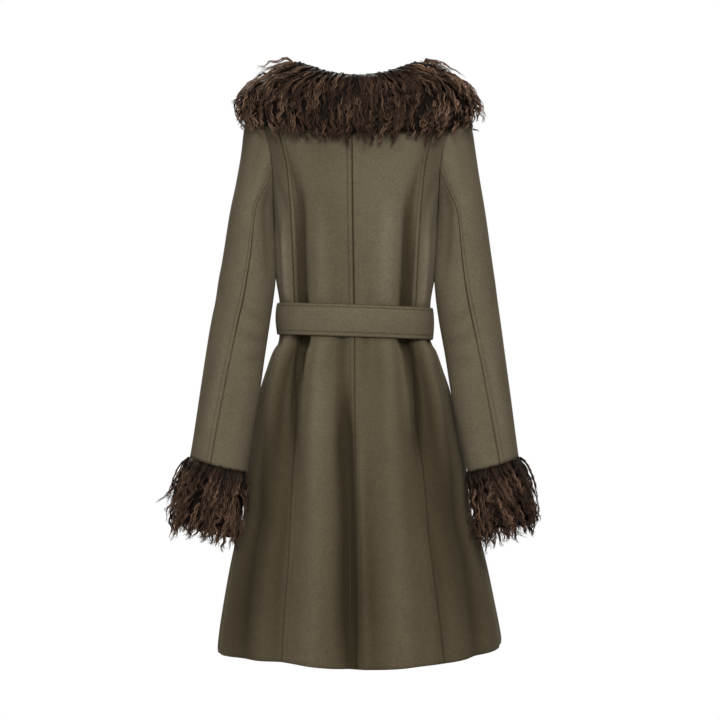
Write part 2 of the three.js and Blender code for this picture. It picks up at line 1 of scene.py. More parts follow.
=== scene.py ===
"""Knee-length belted coat of brushed suede cloth, with a shaggy fur collar and shaggy fur cuffs.

Metres, +Z up, the front faces -Y and the wearer's left is +X. Every cloth piece is a fine wall over
the same skins as its solid: the body's skin is told by turn and height, a sleeve's by turn and share
of its length. Turn on the body is 0 at centre back, 90 at the wearer's left side, 180 at centre
front. Turn on a sleeve is 0 outside, 90 at the back, 180 beside the body.
"""

import json
import math

import bpy
import numpy as np
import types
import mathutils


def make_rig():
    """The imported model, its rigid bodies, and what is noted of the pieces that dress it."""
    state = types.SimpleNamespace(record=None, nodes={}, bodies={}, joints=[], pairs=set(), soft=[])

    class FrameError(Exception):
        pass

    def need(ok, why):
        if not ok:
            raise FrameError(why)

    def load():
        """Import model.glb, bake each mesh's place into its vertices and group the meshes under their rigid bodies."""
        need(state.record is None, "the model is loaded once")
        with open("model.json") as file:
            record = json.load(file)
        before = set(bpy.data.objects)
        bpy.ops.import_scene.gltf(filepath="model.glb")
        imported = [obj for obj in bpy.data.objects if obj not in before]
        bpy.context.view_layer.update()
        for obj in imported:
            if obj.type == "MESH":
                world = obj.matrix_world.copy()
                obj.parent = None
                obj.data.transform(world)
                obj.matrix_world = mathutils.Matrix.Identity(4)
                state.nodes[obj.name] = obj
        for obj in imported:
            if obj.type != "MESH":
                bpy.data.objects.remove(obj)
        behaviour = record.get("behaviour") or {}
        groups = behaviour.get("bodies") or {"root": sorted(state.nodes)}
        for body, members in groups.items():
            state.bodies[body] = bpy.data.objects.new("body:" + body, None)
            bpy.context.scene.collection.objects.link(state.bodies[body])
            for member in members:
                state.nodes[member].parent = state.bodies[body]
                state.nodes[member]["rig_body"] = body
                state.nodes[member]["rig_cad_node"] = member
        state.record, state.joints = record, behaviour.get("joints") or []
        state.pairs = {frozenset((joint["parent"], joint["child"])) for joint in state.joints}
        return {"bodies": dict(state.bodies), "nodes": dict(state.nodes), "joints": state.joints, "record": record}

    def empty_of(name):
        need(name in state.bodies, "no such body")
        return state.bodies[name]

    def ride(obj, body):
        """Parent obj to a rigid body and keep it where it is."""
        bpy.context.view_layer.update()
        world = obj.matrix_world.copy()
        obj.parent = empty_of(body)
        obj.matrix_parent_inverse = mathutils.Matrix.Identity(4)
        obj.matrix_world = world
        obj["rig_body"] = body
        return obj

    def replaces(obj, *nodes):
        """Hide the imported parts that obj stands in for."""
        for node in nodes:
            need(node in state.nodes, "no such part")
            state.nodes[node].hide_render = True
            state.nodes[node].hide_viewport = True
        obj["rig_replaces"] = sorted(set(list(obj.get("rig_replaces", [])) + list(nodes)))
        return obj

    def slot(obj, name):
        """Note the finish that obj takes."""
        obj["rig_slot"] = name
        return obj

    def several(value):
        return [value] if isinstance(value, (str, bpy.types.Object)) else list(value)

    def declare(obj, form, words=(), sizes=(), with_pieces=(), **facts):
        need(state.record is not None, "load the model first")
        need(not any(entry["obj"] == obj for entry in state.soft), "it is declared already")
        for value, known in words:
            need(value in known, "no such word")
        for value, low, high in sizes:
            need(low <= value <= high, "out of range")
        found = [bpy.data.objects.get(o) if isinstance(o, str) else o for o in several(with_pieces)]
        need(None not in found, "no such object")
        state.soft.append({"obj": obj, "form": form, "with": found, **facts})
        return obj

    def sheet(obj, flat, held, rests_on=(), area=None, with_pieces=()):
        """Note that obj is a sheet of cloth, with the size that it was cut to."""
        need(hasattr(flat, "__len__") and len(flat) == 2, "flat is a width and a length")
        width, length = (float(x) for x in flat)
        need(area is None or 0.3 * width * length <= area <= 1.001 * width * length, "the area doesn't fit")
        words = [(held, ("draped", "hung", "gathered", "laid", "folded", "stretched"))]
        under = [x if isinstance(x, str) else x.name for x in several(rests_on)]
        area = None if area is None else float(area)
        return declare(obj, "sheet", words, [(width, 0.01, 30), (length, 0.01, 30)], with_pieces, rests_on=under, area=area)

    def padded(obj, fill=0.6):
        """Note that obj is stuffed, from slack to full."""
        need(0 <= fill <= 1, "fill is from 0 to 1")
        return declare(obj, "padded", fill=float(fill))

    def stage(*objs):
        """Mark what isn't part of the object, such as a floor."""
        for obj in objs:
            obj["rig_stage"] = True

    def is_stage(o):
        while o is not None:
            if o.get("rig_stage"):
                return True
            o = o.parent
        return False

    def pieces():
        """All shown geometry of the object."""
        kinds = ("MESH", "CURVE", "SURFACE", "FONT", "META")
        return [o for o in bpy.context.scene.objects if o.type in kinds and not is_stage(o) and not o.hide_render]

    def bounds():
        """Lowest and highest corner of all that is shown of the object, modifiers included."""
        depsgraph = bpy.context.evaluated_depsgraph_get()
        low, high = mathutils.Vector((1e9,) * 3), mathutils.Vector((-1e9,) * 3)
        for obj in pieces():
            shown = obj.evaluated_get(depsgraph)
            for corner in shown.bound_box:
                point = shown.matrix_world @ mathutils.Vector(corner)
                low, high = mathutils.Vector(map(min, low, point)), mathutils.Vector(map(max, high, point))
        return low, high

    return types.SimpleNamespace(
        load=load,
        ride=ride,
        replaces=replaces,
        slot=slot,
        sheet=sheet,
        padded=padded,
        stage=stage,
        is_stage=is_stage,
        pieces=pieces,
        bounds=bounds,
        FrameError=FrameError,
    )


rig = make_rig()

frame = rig.load()
cad_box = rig.bounds()


def table(columns, *rows):
    """Short table with named columns, each an array."""
    return dict(zip(columns.split(), np.array(rows, float).T))


# ---- sizes ---------------------------------------------------------------------------------------

CLOTH = 0.0025  # thickness of the suede cloth
SEAM = 0.0003  # gap between two solids at a seam
MEET = 0.00012  # how far two pieces pass each other inside a seam, so that no light shows through
SQUARENESS = 2.3  # exponent of the body's rounded sections, 2 is an ellipse
SKIN_STEPS = 0.05, 0.0005  # steps in turn and in height or share, between which a normal is read

NECK_BACK, NECK_POINT = -0.012, 0.012  # heights of the neck edge at centre back and shoulder
SHOULDER_TIP = -0.035
PRINCESS_TOP = -0.018
UNDERARM = -0.226

BELT = {
    "middle": -0.4135, "width": 0.054, "tilt": 0.034, "thick": 0.003, "gap": 0.0028,
    "over_from": 100, "over_to": 140,  # turns between which it rises over the lap
}
LAP = {"reach": 0.060, "lift": 0.0038, "from": 126, "to": 150, "shorter": 0.005}
KNOT = {"width": 0.058, "depth": 0.026, "height": 0.060, "clear": 0.0008}
TAIL = {"length": 0.330, "gap": 0.004, "splay": 0.014, "out": 0.0056, "drop": 0.002}
CUFF = {"seam": -0.655, "tilt": 0.012, "length": 0.118, "jag": 0.009, "lean": 0.35}
COLLAR = {
    "width": 0.090, "jag": 0.005, "clear": 0.0005, "rise": 0.0032, "narrow": 0.45,
    "crest": 0.8, "crest_at": 0.36, "crest_spread": 0.09,  # the fur stands up at the shoulders
}

SECTIONS = table(
    "z width back front side middle",
    (0.040, 0.0950, 0.052, 0.024, 0, 0),
    (0.024, 0.0960, 0.055, 0.027, 0, 0),
    (0.012, 0.1000, 0.057, 0.032, 0, 0),
    (0, 0.1200, 0.062, 0.041, 0, 0),
    (-0.020, 0.1530, 0.076, 0.053, 0, 0),
    (-0.035, 0.1780, 0.085, 0.062, 0, 0),
    (-0.060, 0.1810, 0.095, 0.076, 0, 0.0002),
    (-0.090, 0.1770, 0.101, 0.090, 0, 0.0005),
    (-0.122, 0.1680, 0.105, 0.103, 0, 0.0009),
    (-0.180, 0.1500, 0.106, 0.116, 0, 0.0016),
    (-0.226, 0.1400, 0.104, 0.119, 0, 0.0022),
    (-0.300, 0.1350, 0.097, 0.112, 0, 0.0029),
    (-0.345, 0.1315, 0.089, 0.102, 0, 0.0032),
    (-0.382, 0.1285, 0.084, 0.095, 0, 0.0034),
    (-0.415, 0.1275, 0.083, 0.093, 0, 0.0034),
    (-0.448, 0.1295, 0.085, 0.095, -0.002, 0.0038),
    (-0.464, 0.1390, 0.091, 0.099, -0.004, 0.0042),
    (-0.496, 0.1500, 0.101, 0.106, -0.007, 0.0042),
    (-0.530, 0.1600, 0.109, 0.111, -0.010, 0.0036),
    (-0.600, 0.1740, 0.119, 0.119, -0.014, 0.0022),
    (-0.668, 0.1870, 0.128, 0.127, -0.018, 0.0006),
    (-0.735, 0.1940, 0.138, 0.136, -0.018, -0.0008),
    (-0.802, 0.2130, 0.147, 0.145, -0.012, -0.0024),
    (-0.887, 0.2300, 0.153, 0.152, -0.006, -0.0036),
    (-0.955, 0.2410, 0.157, 0.156, 0, -0.0050),
    (-0.990, 0.2440, 0.158, 0.157, 0, -0.0054),
)
BACK_SEAMS = table(
    "z left centre right",
    (-0.012, 0.1560, 0.0090, -0.1560),
    (-0.018, 0.1520, 0.0090, -0.1520),
    (-0.060, 0.1410, 0.0090, -0.1380),
    (-0.100, 0.1300, 0.0085, -0.1265),
    (-0.155, 0.1180, 0.0080, -0.1140),
    (-0.245, 0.1110, 0.0070, -0.1060),
    (-0.376, 0.1060, 0.0050, -0.0995),
    (-0.440, 0.1040, 0.0040, -0.0975),
    (-0.520, 0.1060, 0.0040, -0.1010),
    (-0.612, 0.1070, 0.0035, -0.1070),
    (-0.687, 0.1090, 0.0033, -0.1130),
    (-0.792, 0.1120, 0.0030, -0.1225),
    (-0.911, 0.1205, 0.0027, -0.1380),
    (-0.985, 0.1240, 0.0025, -0.1460),
)
HEM = table(
    "turn z",
    (-180, -0.985), (-135, -0.976), (-90, -0.957), (-63, -0.966), (-41, -0.974), (-13, -0.986),
    (0, -0.9875), (8, -0.985), (38, -0.973), (90, -0.9735), (135, -0.979), (180, -0.985),
)
FRONT_EDGE = table(
    "z reach",
    (0.012, 0.100), (-0.030, 0.082), (-0.100, 0.050), (-0.200, 0),
    (-0.330, -LAP["reach"]), (-0.990, -LAP["reach"]),
)
ARMHOLE = table(
    "turn back front",
    (0, 0, 0), (22, 15, 18), (42, 25, 29), (65, 31, 37), (85, 32, 40),
    (102, 29, 38), (121, 23, 33), (149, 12.5, 18), (180, 0, 0),
)
SLEEVE = table(
    "z inner_left outer_left inner_right outer_right depth y",
    (-0.035, 0.1050, 0.1740, 0.1050, 0.1780, 0.030, 0),
    (-0.088, 0.0960, 0.1905, 0.0960, 0.1965, 0.052, 0),
    (-0.122, 0.1010, 0.1960, 0.1010, 0.2015, 0.058, 0),
    (-0.180, 0.1250, 0.2060, 0.1220, 0.2100, 0.062, 0.002),
    (-0.226, 0.1432, 0.2155, 0.1388, 0.2175, 0.062, 0.005),
    (-0.309, 0.1399, 0.2285, 0.1341, 0.2290, 0.058, 0.009),
    (-0.345, 0.1400, 0.2350, 0.1328, 0.2340, 0.057, 0.012),
    (-0.377, 0.1420, 0.2395, 0.1340, 0.2380, 0.056, 0.015),
    (-0.411, 0.1465, 0.2460, 0.1380, 0.2425, 0.055, 0.019),
    (-0.462, 0.1540, 0.2540, 0.1470, 0.2490, 0.053, 0.024),
    (-0.547, 0.1670, 0.2665, 0.1610, 0.2600, 0.051, 0.033),
    (-0.615, 0.1790, 0.2765, 0.1755, 0.2685, 0.049, 0.041),
    (-0.668, 0.1870, 0.2850, 0.1865, 0.2750, 0.048, 0.050),
    (-0.735, 0.1990, 0.2930, 0.2020, 0.2810, 0.047, 0.061),
    (-0.820, 0.2100, 0.3040, 0.2160, 0.2910, 0.046, 0.072),
)
SLEEVE_SEAM = {"back": 108, "front": -126}  # turns of the two lengthwise sleeve seams
SLEEVE_LEAN = {"turn": 30, "bend": 0.7}
HEAD_EASE, HEAD_RIDGE = 0.110, 0.0014

COLLAR_EDGES = table(
    "share turn neck outer",
    (0, 0, -0.003, -0.113), (0.10, 22, 0.0035, -0.111), (0.20, 42, 0.0125, -0.105),
    (0.32, 66, 0.022, -0.088), (0.44, 90, 0.027, -0.067), (0.54, 112, 0.021, -0.084),
    (0.64, 134, 0.002, -0.130), (0.74, 152, -0.028, -0.180), (0.84, 164, -0.092, -0.222),
    (0.92, 171, -0.142, -0.246), (1, 178, -0.196, -0.268),
)
FUR = table(
    "down collar cuff",
    (0, 0.005, 0.0025), (0.15, 0.014, 0.011), (0.4, 0.021, 0.016),
    (0.7, 0.022, 0.0175), (0.9, 0.017, 0.015), (1, 0.008, 0.009),
)
SLEEVE_HEADS = table(
    "z out",
    (0, 0), (-0.020, 0.002), (-0.040, 0.004), (-0.060, 0.008),
    (-0.075, 0.014), (-0.090, 0.0195), (-0.110, 0.027), (-0.150, 0.038),
)

# Large folds, the same as the solids have: turn at top and foot, heights, half spread, rise.
FOLDS = table(
    "top foot from to spread start end",
    (42, 43, -0.170, -0.400, 5, -0.002, -0.005),
    (-40, -40, -0.170, -0.400, 5, -0.002, -0.005),
    (20, 24, -0.250, -0.395, 8, 0, 0.002),
    (-18, -22, -0.250, -0.395, 8, 0, 0.002),
    (39, 30, -0.452, -0.560, 5, -0.009, -0.003),
    (-36, -30, -0.452, -0.560, 5, -0.009, -0.003),
    (21, 14, -0.500, -0.990, 8, 0.004, 0.007),
    (-18, -11, -0.500, -0.990, 7, 0.003, 0.008),
    (3, 2, -0.620, -0.990, 5, -0.003, -0.013),
    (62, 56, -0.620, -0.990, 8, -0.003, -0.006),
    (-60, -53, -0.620, -0.990, 8, -0.002, -0.008),
    (50, 38, -0.500, -0.990, 7, 0.002, 0.005),
    (122, 130, -0.455, -0.780, 7, -0.007, -0.003),
    (-118, -128, -0.455, -0.700, 6, -0.008, -0.002),
    (140, 143, -0.460, -0.990, 7, -0.005, -0.009),
    (-136, -141, -0.460, -0.990, 7, -0.004, -0.010),
    (104, 112, -0.560, -0.990, 8, 0.002, 0.006),
    (136, 134, -0.260, -0.395, 6, -0.001, -0.004),
    (-134, -136, -0.240, -0.395, 6, -0.001, -0.005),
)
FOLD_FADE = 0.045
FLAT_FRONT = {"from": 142, "to": 154, "crease_from": 134}  # turns over which folds and creases die away
ARC_STRETCH = 1.05
BELT_HOLD = -0.002, 0.014  # distances from the belt's edge between which ridges grow back

# Small creases of the body cloth: both ends, half width, rise (below zero: trough).
BODY_CREASES = table(
    "turn z end_turn end_z width rise",
    (42, -0.150, 47.6, -0.500, 0.0060, -0.0048),
    (-40, -0.165, -45.5, -0.500, 0.0060, -0.0054),
    (38, -0.180, 43.5, -0.500, 0.0130, -0.0070),
    (-36, -0.200, -41.5, -0.500, 0.0130, -0.0078),
    (22, -0.230, 22, -0.500, 0.0160, 0.0034),
    (-20, -0.220, -20, -0.500, 0.0160, 0.0040),
    (14, -0.350, 7.8, -0.500, 0.0070, -0.0016),
    (-9, -0.362, -5.2, -0.500, 0.0060, -0.0012),
    (28, -0.366, 23.5, -0.500, 0.0050, -0.0012),
    (-27, -0.360, -30.9, -0.500, 0.0055, -0.0014),
    (60, -0.250, 63.3, -0.500, 0.0150, 0.0042),
    (-60, -0.250, -63.3, -0.500, 0.0150, 0.0042),
    (62, -0.175, 50, -0.245, 0.0120, -0.0013),
    (-63, -0.165, -51, -0.250, 0.0130, -0.0014),
    (74, -0.235, 70, -0.300, 0.0110, -0.0012),
    (-73, -0.228, -69, -0.296, 0.0110, -0.0014),
    (30, -0.128, 8, -0.150, 0.0180, -0.0009),
    (-26, -0.118, -7, -0.142, 0.0200, -0.0010),
    (18, -0.190, 6, -0.205, 0.0150, 0.0006),
    (43, -0.395, 32.5, -0.630, 0.0080, -0.0084),
    (-45.5, -0.395, -33, -0.630, 0.0080, -0.0090),
    (40, -0.395, 31, -0.720, 0.0180, -0.0060),
    (-42, -0.395, -32, -0.700, 0.0180, -0.0060),
    (33, -0.430, 29, -0.600, 0.0090, 0.0030),
    (-33, -0.430, -28, -0.600, 0.0090, 0.0045),
    (25.8, -0.395, 21, -0.530, 0.0070, 0.0020),
    (14.8, -0.395, 13, -0.505, 0.0060, -0.0013),
    (7, -0.395, 5, -0.700, 0.0090, -0.0046),
    (-6.7, -0.395, -5, -0.520, 0.0055, -0.0012),
    (-15, -0.395, -12, -0.550, 0.0070, -0.0020),
    (-24.2, -0.395, -21, -0.530, 0.0070, 0.0020),
    (52, -0.395, 44, -0.680, 0.0150, -0.0050),
    (-54, -0.395, -45, -0.660, 0.0150, -0.0050),
    (60, -0.470, 53, -0.760, 0.0150, 0.0028),
    (-58, -0.475, -52, -0.740, 0.0150, 0.0030),
    (75, -0.395, 70, -0.700, 0.0130, -0.0034),
    (-73.5, -0.395, -71, -0.680, 0.0130, -0.0036),
    (2.8, -0.540, 1.9, -1.060, 0.0065, -0.0110),
    (5.4, -0.520, 3.6, -1.060, 0.0120, -0.0075),
    (-1.6, -0.600, -1.5, -1.060, 0.0050, 0.0034),
    (-4.5, -0.640, -4, -1.060, 0.0140, -0.0016),
    (20, -0.480, 16, -1.060, 0.0160, 0.0056),
    (-18, -0.480, -14, -1.060, 0.0160, 0.0050),
    (36, -0.700, 31, -1.060, 0.0120, -0.0034),
    (-34, -0.720, -31, -1.060, 0.0130, -0.0036),
    (58, -0.600, 50, -1.060, 0.0200, -0.0050),
    (-60, -0.600, -52, -1.060, 0.0200, -0.0050),
    (84, -0.700, 78, -1.060, 0.0150, -0.0030),
    (-86, -0.700, -80, -1.060, 0.0150, -0.0030),
    (97, -0.470, 99, -0.690, 0.0120, -0.0022),
    (-99, -0.465, -97, -0.650, 0.0120, -0.0024),
    (110.1, -0.395, 116, -0.570, 0.0090, -0.0040),
    (-106.5, -0.395, -112, -0.600, 0.0090, -0.0038),
    (126.1, -0.395, 131, -0.540, 0.0070, -0.0032),
    (-125.9, -0.395, -129, -0.560, 0.0070, -0.0030),
    (120, -0.470, 126, -0.800, 0.0150, -0.0034),
    (-119, -0.470, -124, -0.760, 0.0150, -0.0036),
    (110, -0.600, 115, -1.060, 0.0160, 0.0036),
    (-108, -0.620, -114, -1.060, 0.0160, 0.0034),
    (135, -0.560, 138, -1.060, 0.0130, -0.0044),
    (-132, -0.600, -137, -1.060, 0.0130, -0.0042),
    (98, -0.205, 112, -0.290, 0.0120, -0.0022),
    (-97, -0.210, -114, -0.300, 0.0120, -0.0020),
    (112, -0.290, 127.3, -0.500, 0.0100, -0.0030),
    (-110, -0.300, -128, -0.500, 0.0100, -0.0032),
    (130, -0.300, 138, -0.500, 0.0080, -0.0026),
    (-128, -0.310, -138.6, -0.500, 0.0080, -0.0026),
    (124, -0.330, 131.3, -0.500, 0.0070, 0.0016),
    (-122, -0.320, -131, -0.500, 0.0070, 0.0016),
    (90, -0.258, 90, -0.372, 0.0260, 0.0036),
    (-90, -0.248, -90, -0.372, 0.0260, 0.0040),
    (90, -0.500, 90, -0.700, 0.0300, 0.0018),
    (-90, -0.500, -90, -0.700, 0.0300, 0.0018),
)
# Small creases of a sleeve: the places are turns and shares of its length.
SLEEVE_CREASES = table(
    "turn share end_turn end_share width rise",
    (128, 0.03, 150, 0.30, 0.0090, -0.0022),
    (58, 0.02, 78, 0.18, 0.0110, -0.0012),
    (24, 0.04, 30, 0.22, 0.0120, -0.0009),
    (160, 0.44, 98, 0.515, 0.0070, -0.0016),
    (172, 0.50, 108, 0.585, 0.0075, -0.0019),
    (165, 0.58, 124, 0.650, 0.0070, -0.0012),
    (34, 0.49, 76, 0.560, 0.0085, -0.0009),
    (92, 0.62, 84, 0.96, 0.0110, 0.0014),
    (60, 0.68, 48, 0.98, 0.0110, -0.0013),
    (128, 0.72, 118, 0.97, 0.0100, -0.0013),
    (10, 0.60, 2, 0.97, 0.0120, 0.0010),
    (-58, 0.43, -104, 0.520, 0.0080, -0.0024),
    (-46, 0.50, -112, 0.590, 0.0085, -0.0026),
    (-60, 0.57, -118, 0.660, 0.0080, -0.0018),
    (-92, 0.04, -120, 0.26, 0.0100, -0.0020),
    (-40, 0.03, -52, 0.20, 0.0110, -0.0012),
    (-70, 0.74, -62, 0.98, 0.0110, -0.0014),
    (180, -0.02, 180, 0.34, 0.0200, 0.0030),
    (180, 0.60, 180, 1.10, 0.0200, 0.0014),
)
# Broad patches of painted light (tone above zero) and painted shade (below zero) on the body: lighter at the
# waist's sides, on the right of the upper back and along the skirt's outline; darker on the lower skirt and its
# sides, beside the back's folds, below the belt and under the collar's edges; in shares of the tone.
PAINTED_SHADING = table(
    "turn z wide high tone",
    (12, -0.240, 20, 0.200, -0.13), (-22, -0.260, 24, 0.150, 0.12), (70, -0.300, 15, 0.110, 0.66),
    (-70, -0.300, 15, 0.110, 0.52), (0, -0.860, 200, 0.340, -0.27), (-24, -0.580, 22, 0.180, -0.16),
    (50, -0.700, 17, 0.220, -0.38), (-48, -0.700, 17, 0.220, -0.36), (58, -0.920, 14, 0.120, -0.22),
    (-58, -0.920, 14, 0.120, -0.10), (-2.5, -0.860, 3.5, 0.160, -0.26), (82, -0.640, 9, 0.200, 0.40),
    (-82, -0.640, 9, 0.200, 0.40), (40, -0.240, 6, 0.160, -0.02), (-41, -0.260, 6, 0.160, -0.16),
    (44, -0.470, 7, 0.060, -0.10), (-44, -0.470, 6, 0.060, -0.10), (0, -0.470, 40, 0.060, -0.12),
    (50, -0.120, 9, 0.050, -0.22), (-50, -0.120, 9, 0.050, -0.20),
)
LIGHTER_ALL_OVER = {"sleeve": 0.05, "belt": 0.06}  # lighter all over: painted light on the sleeves, a lighter tone on the belt
OTHER_SLEEVE = {"turn": 7, "share": 0.018}  # how far the right sleeve's creases lie off the left's


# ---- curves and meshes ---------------------------------------------------------------------------


def lerp(start, end, share):
    """The way from start to end, as far as the share says."""
    return start + (end - start) * share


def bell(x):
    """Bell curve: one at zero and next to nothing beyond two."""
    return np.exp(-(x**2))


def smoothstep(x, low, high):
    """Zero below low, one above high, and a smooth rise between."""
    share = np.clip((x - low) / (high - low), 0, 1)
    return share * share * (3 - 2 * share)


def between(turn, start):
    """Degrees from one turn to another the short way, between -180 and 180."""
    return (turn - start + 180) % 360 - 180


def curve(rows, place, column):
    """Cubic through one column of a table, without overshoot, straight past both ends."""
    order = np.argsort(rows[place])
    at, value = rows[place][order], rows[column][order]
    rise = np.diff(value) / np.diff(at)
    product = rise[:-1] * rise[1:]
    total = np.where(product > 0, rise[:-1] + rise[1:], 1)
    slope = np.concatenate([rise[:1], np.where(product > 0, 2 * product / total, 0), rise[-1:]])

    def along(x):
        x = np.asarray(x, float)
        i = np.clip(np.searchsorted(at, x, side="right") - 1, 0, len(at) - 2)
        span = at[i + 1] - at[i]
        t = np.clip((x - at[i]) / span, 0, 1)
        bend = value[i] + (value[i + 1] - value[i]) * t * t * (3 - 2 * t)
        ease = span * t * (1 - t) * ((1 - t) * slope[i] - t * slope[i + 1])
        past = np.minimum(x - at[0], 0) * slope[0] + np.maximum(x - at[-1], 0) * slope[-1]
        return bend + ease + past

    return along


def unit(vectors):
    """Vectors made one long."""
    return vectors / np.maximum(np.linalg.norm(vectors, axis=-1, keepdims=True), 1e-12)


def points_of(x, y, z):
    """Points from three arrays that fit each other's shapes."""
    return np.stack(np.broadcast_arrays(x, y, z), axis=-1)


def normals_of(skin, a, b, step_a, step_b):
    """Normal of a skin: the cross product of its two directions."""
    along_a = skin(a + step_a, b) - skin(a - step_a, b)
    along_b = skin(a, b + step_b) - skin(a, b - step_b)
    return unit(np.cross(along_a, along_b))


def aim(thing, place, target):
    """Puts a camera or light at a place, looking at a target."""
    thing.location = place
    way = np.array(place) - np.array(target)
    flat = math.hypot(way[0], way[1])
    thing.rotation_euler = (math.atan2(flat, way[2]), 0, math.atan2(way[1], way[0]) + math.pi / 2)


def add_object(name, data, place=None, target=None):
    """New object in the scene, aimed where a place is given."""
    made = bpy.data.objects.new(name, data)
    bpy.context.collection.objects.link(made)
    if place is not None:
        aim(made, place, target)
    return made


def new_object(name, points, faces):
    """Object of a smooth closed mesh from arrays; where its volume is below zero, its faces are
    turned, so that they look out."""
    points, faces = points.reshape(-1, 3), np.asarray(faces)
    first, second, third = (points[faces[:, i]] for i in range(3))
    volume = np.einsum("ij,ij->", first, np.cross(second, third))
    if faces.shape[1] == 4:
        volume += np.einsum("ij,ij->", first, np.cross(third, points[faces[:, 3]]))
    if volume < 0:
        faces = faces[:, ::-1]
    mesh = bpy.data.meshes.new(name)
    mesh.from_pydata(points, [], faces.tolist())
    mesh.polygons.foreach_set("use_smooth", np.full(len(faces), True))
    mesh.update()
    return add_object(name, mesh)


def grid_faces(rows, columns, start=0, round_it=False):
    """Quads between the points of a grid, whose points are counted row by row from start."""
    across = columns if round_it else columns - 1
    row, column = np.meshgrid(np.arange(rows - 1), np.arange(across), indexing="ij")
    after = (column + 1) % columns
    corners = [row * columns + column, row * columns + after]
    corners += [(row + 1) * columns + after, (row + 1) * columns + column]
    return start + np.stack(corners, axis=-1).reshape(-1, 4)


def strip_faces(one, other):
    """Quads between two lists of points."""
    return np.stack([one[:-1], one[1:], other[1:], other[:-1]], axis=-1)


def wall(name, outer, inner, round_it=False):
    """Closed wall between an outer and an inner grid of points.

    With round_it, its last column joins its first."""
    rows, columns = outer.shape[:2]
    layer = rows * columns
    spot = np.arange(layer).reshape(rows, columns)
    faces = [grid_faces(rows, columns, 0, round_it), grid_faces(rows, columns, layer, round_it)[:, ::-1]]
    first, last = spot[0], spot[-1]
    if round_it:
        first, last = np.append(first, first[0]), np.append(last, last[0])
    faces += [strip_faces(first + layer, first), strip_faces(last, last + layer)]
    if not round_it:
        left, right = spot[:, 0], spot[:, -1]
        faces += [strip_faces(left, left + layer), strip_faces(right + layer, right)]
    return new_object(name, np.stack([outer, inner]), np.concatenate(faces))


def lengths(points, axis):
    """Length run along one axis of a grid of points, from its start."""
    steps = np.linalg.norm(np.diff(points, axis=axis), axis=-1)
    start = np.zeros_like(np.take(steps, [0], axis=axis))
    return np.concatenate([start, np.cumsum(steps, axis=axis)], axis=axis)


def area_of(points):
    """Area of a grid of points, cell by cell."""
    down, over = np.diff(points, axis=0)[:, :-1], np.diff(points, axis=1)[:-1]
    return float(np.linalg.norm(np.cross(down, over), axis=-1).sum())


# ---- the two skins -------------------------------------------------------------------------------

width, back, front = (curve(SECTIONS, "z", name) for name in ("width", "back", "front"))
side_line, middle = (curve(SECTIONS, "z", name) for name in ("side", "middle"))
hem = curve(HEM, "turn", "z")
cut_back, cut_front = (curve(ARMHOLE, "turn", name) for name in ("back", "front"))
sleeve_edge = {
    (side, place): curve(SLEEVE, "z", f"{place}_{name}")
    for side, name in ((1, "left"), (-1, "right"))
    for place in ("inner", "outer")
}
sleeve_depth, sleeve_middle = curve(SLEEVE, "z", "depth"), curve(SLEEVE, "z", "y")


def rounded(share):
    """Share of an ellipse's half axis made squarer: to the power of two over the squareness."""
    return np.sign(share) * np.abs(share) ** (2 / SQUARENESS)


def fold_out(turn, z):
    """Sum of the large folds: each a bell across, as high as its place says, fading past its ends."""
    out = np.zeros(np.broadcast(turn, z).shape)
    for top, foot, start, end, spread, first, last in zip(*FOLDS.values()):
        share = np.clip((start - z) / (start - end), 0, 1)
        aside = between(turn, lerp(top, foot, share)) / spread
        begun = 1 - smoothstep(z, start, start + FOLD_FADE)
        lasting = smoothstep(z, end - FOLD_FADE, end)
        out = out + lerp(first, last, share) * begun * lasting * bell(aside)
    return out * (1 - smoothstep(np.abs(between(turn, 0)), FLAT_FRONT["from"], FLAT_FRONT["to"]))


def body_skin(turn, z, folded=1):
    """Rounded section at each height: width times across and depth times along, moved out by the
    large folds, or without them where folded is 0."""
    angle = np.radians(turn)
    across, along = rounded(np.sin(angle)), rounded(np.cos(angle))
    side = side_line(z)
    depth = np.where(along > 0, back(z) - side, front(z) + side)
    out = folded * fold_out(turn, z) / np.hypot(across, along)
    return points_of(middle(z) + (width(z) + out) * across, side + (depth + out) * along, z)


def body_normals(turn, z):
    """Normals of the body's skin, which look out."""
    return -normals_of(body_skin, turn, z, *SKIN_STEPS)


def body(turn, z, out=0.0):
    """Point of the body's skin, moved out along its normal."""
    return body_skin(turn, z) + body_normals(turn, z) * np.asarray(out)[..., None]


def turn_at(x, z):
    """Turn of the back skin at an x and height."""
    aside = x - middle(z)
    share = np.clip(np.abs(aside) / width(z), 0, 1) ** (SQUARENESS / 2)
    return np.degrees(np.arcsin(share)) * np.sign(aside)


def arm_height(turn):
    """Height of the armhole at a turn round it: the shoulder tip at 0, the underarm at 180."""
    return lerp(UNDERARM, SHOULDER_TIP, (1 + np.cos(np.radians(turn))) / 2)


def arm_turn(turn):
    """Turn of the body's skin where the armhole is cut, behind (above 0) or before (below 0)."""
    return np.where(turn > 0, 90 - cut_back(turn), 90 + cut_front(-turn))


def tube(side, turn, z):
    """Tube of a sleeve on the left: an ellipse at each height."""
    angle = np.radians(turn)
    inner, outer = sleeve_edge[side, "inner"](z), sleeve_edge[side, "outer"](z)
    half = (outer - inner) / 2
    y = sleeve_middle(z) + sleeve_depth(z) * np.sin(angle)
    return points_of(inner + half + half * np.cos(angle), y, z)


def cuff_seam(turn):
    """Height of the cuff seam at a turn round the sleeve: it tilts up toward the outside."""
    return CUFF["seam"] + CUFF["tilt"] * np.cos(np.radians(turn))


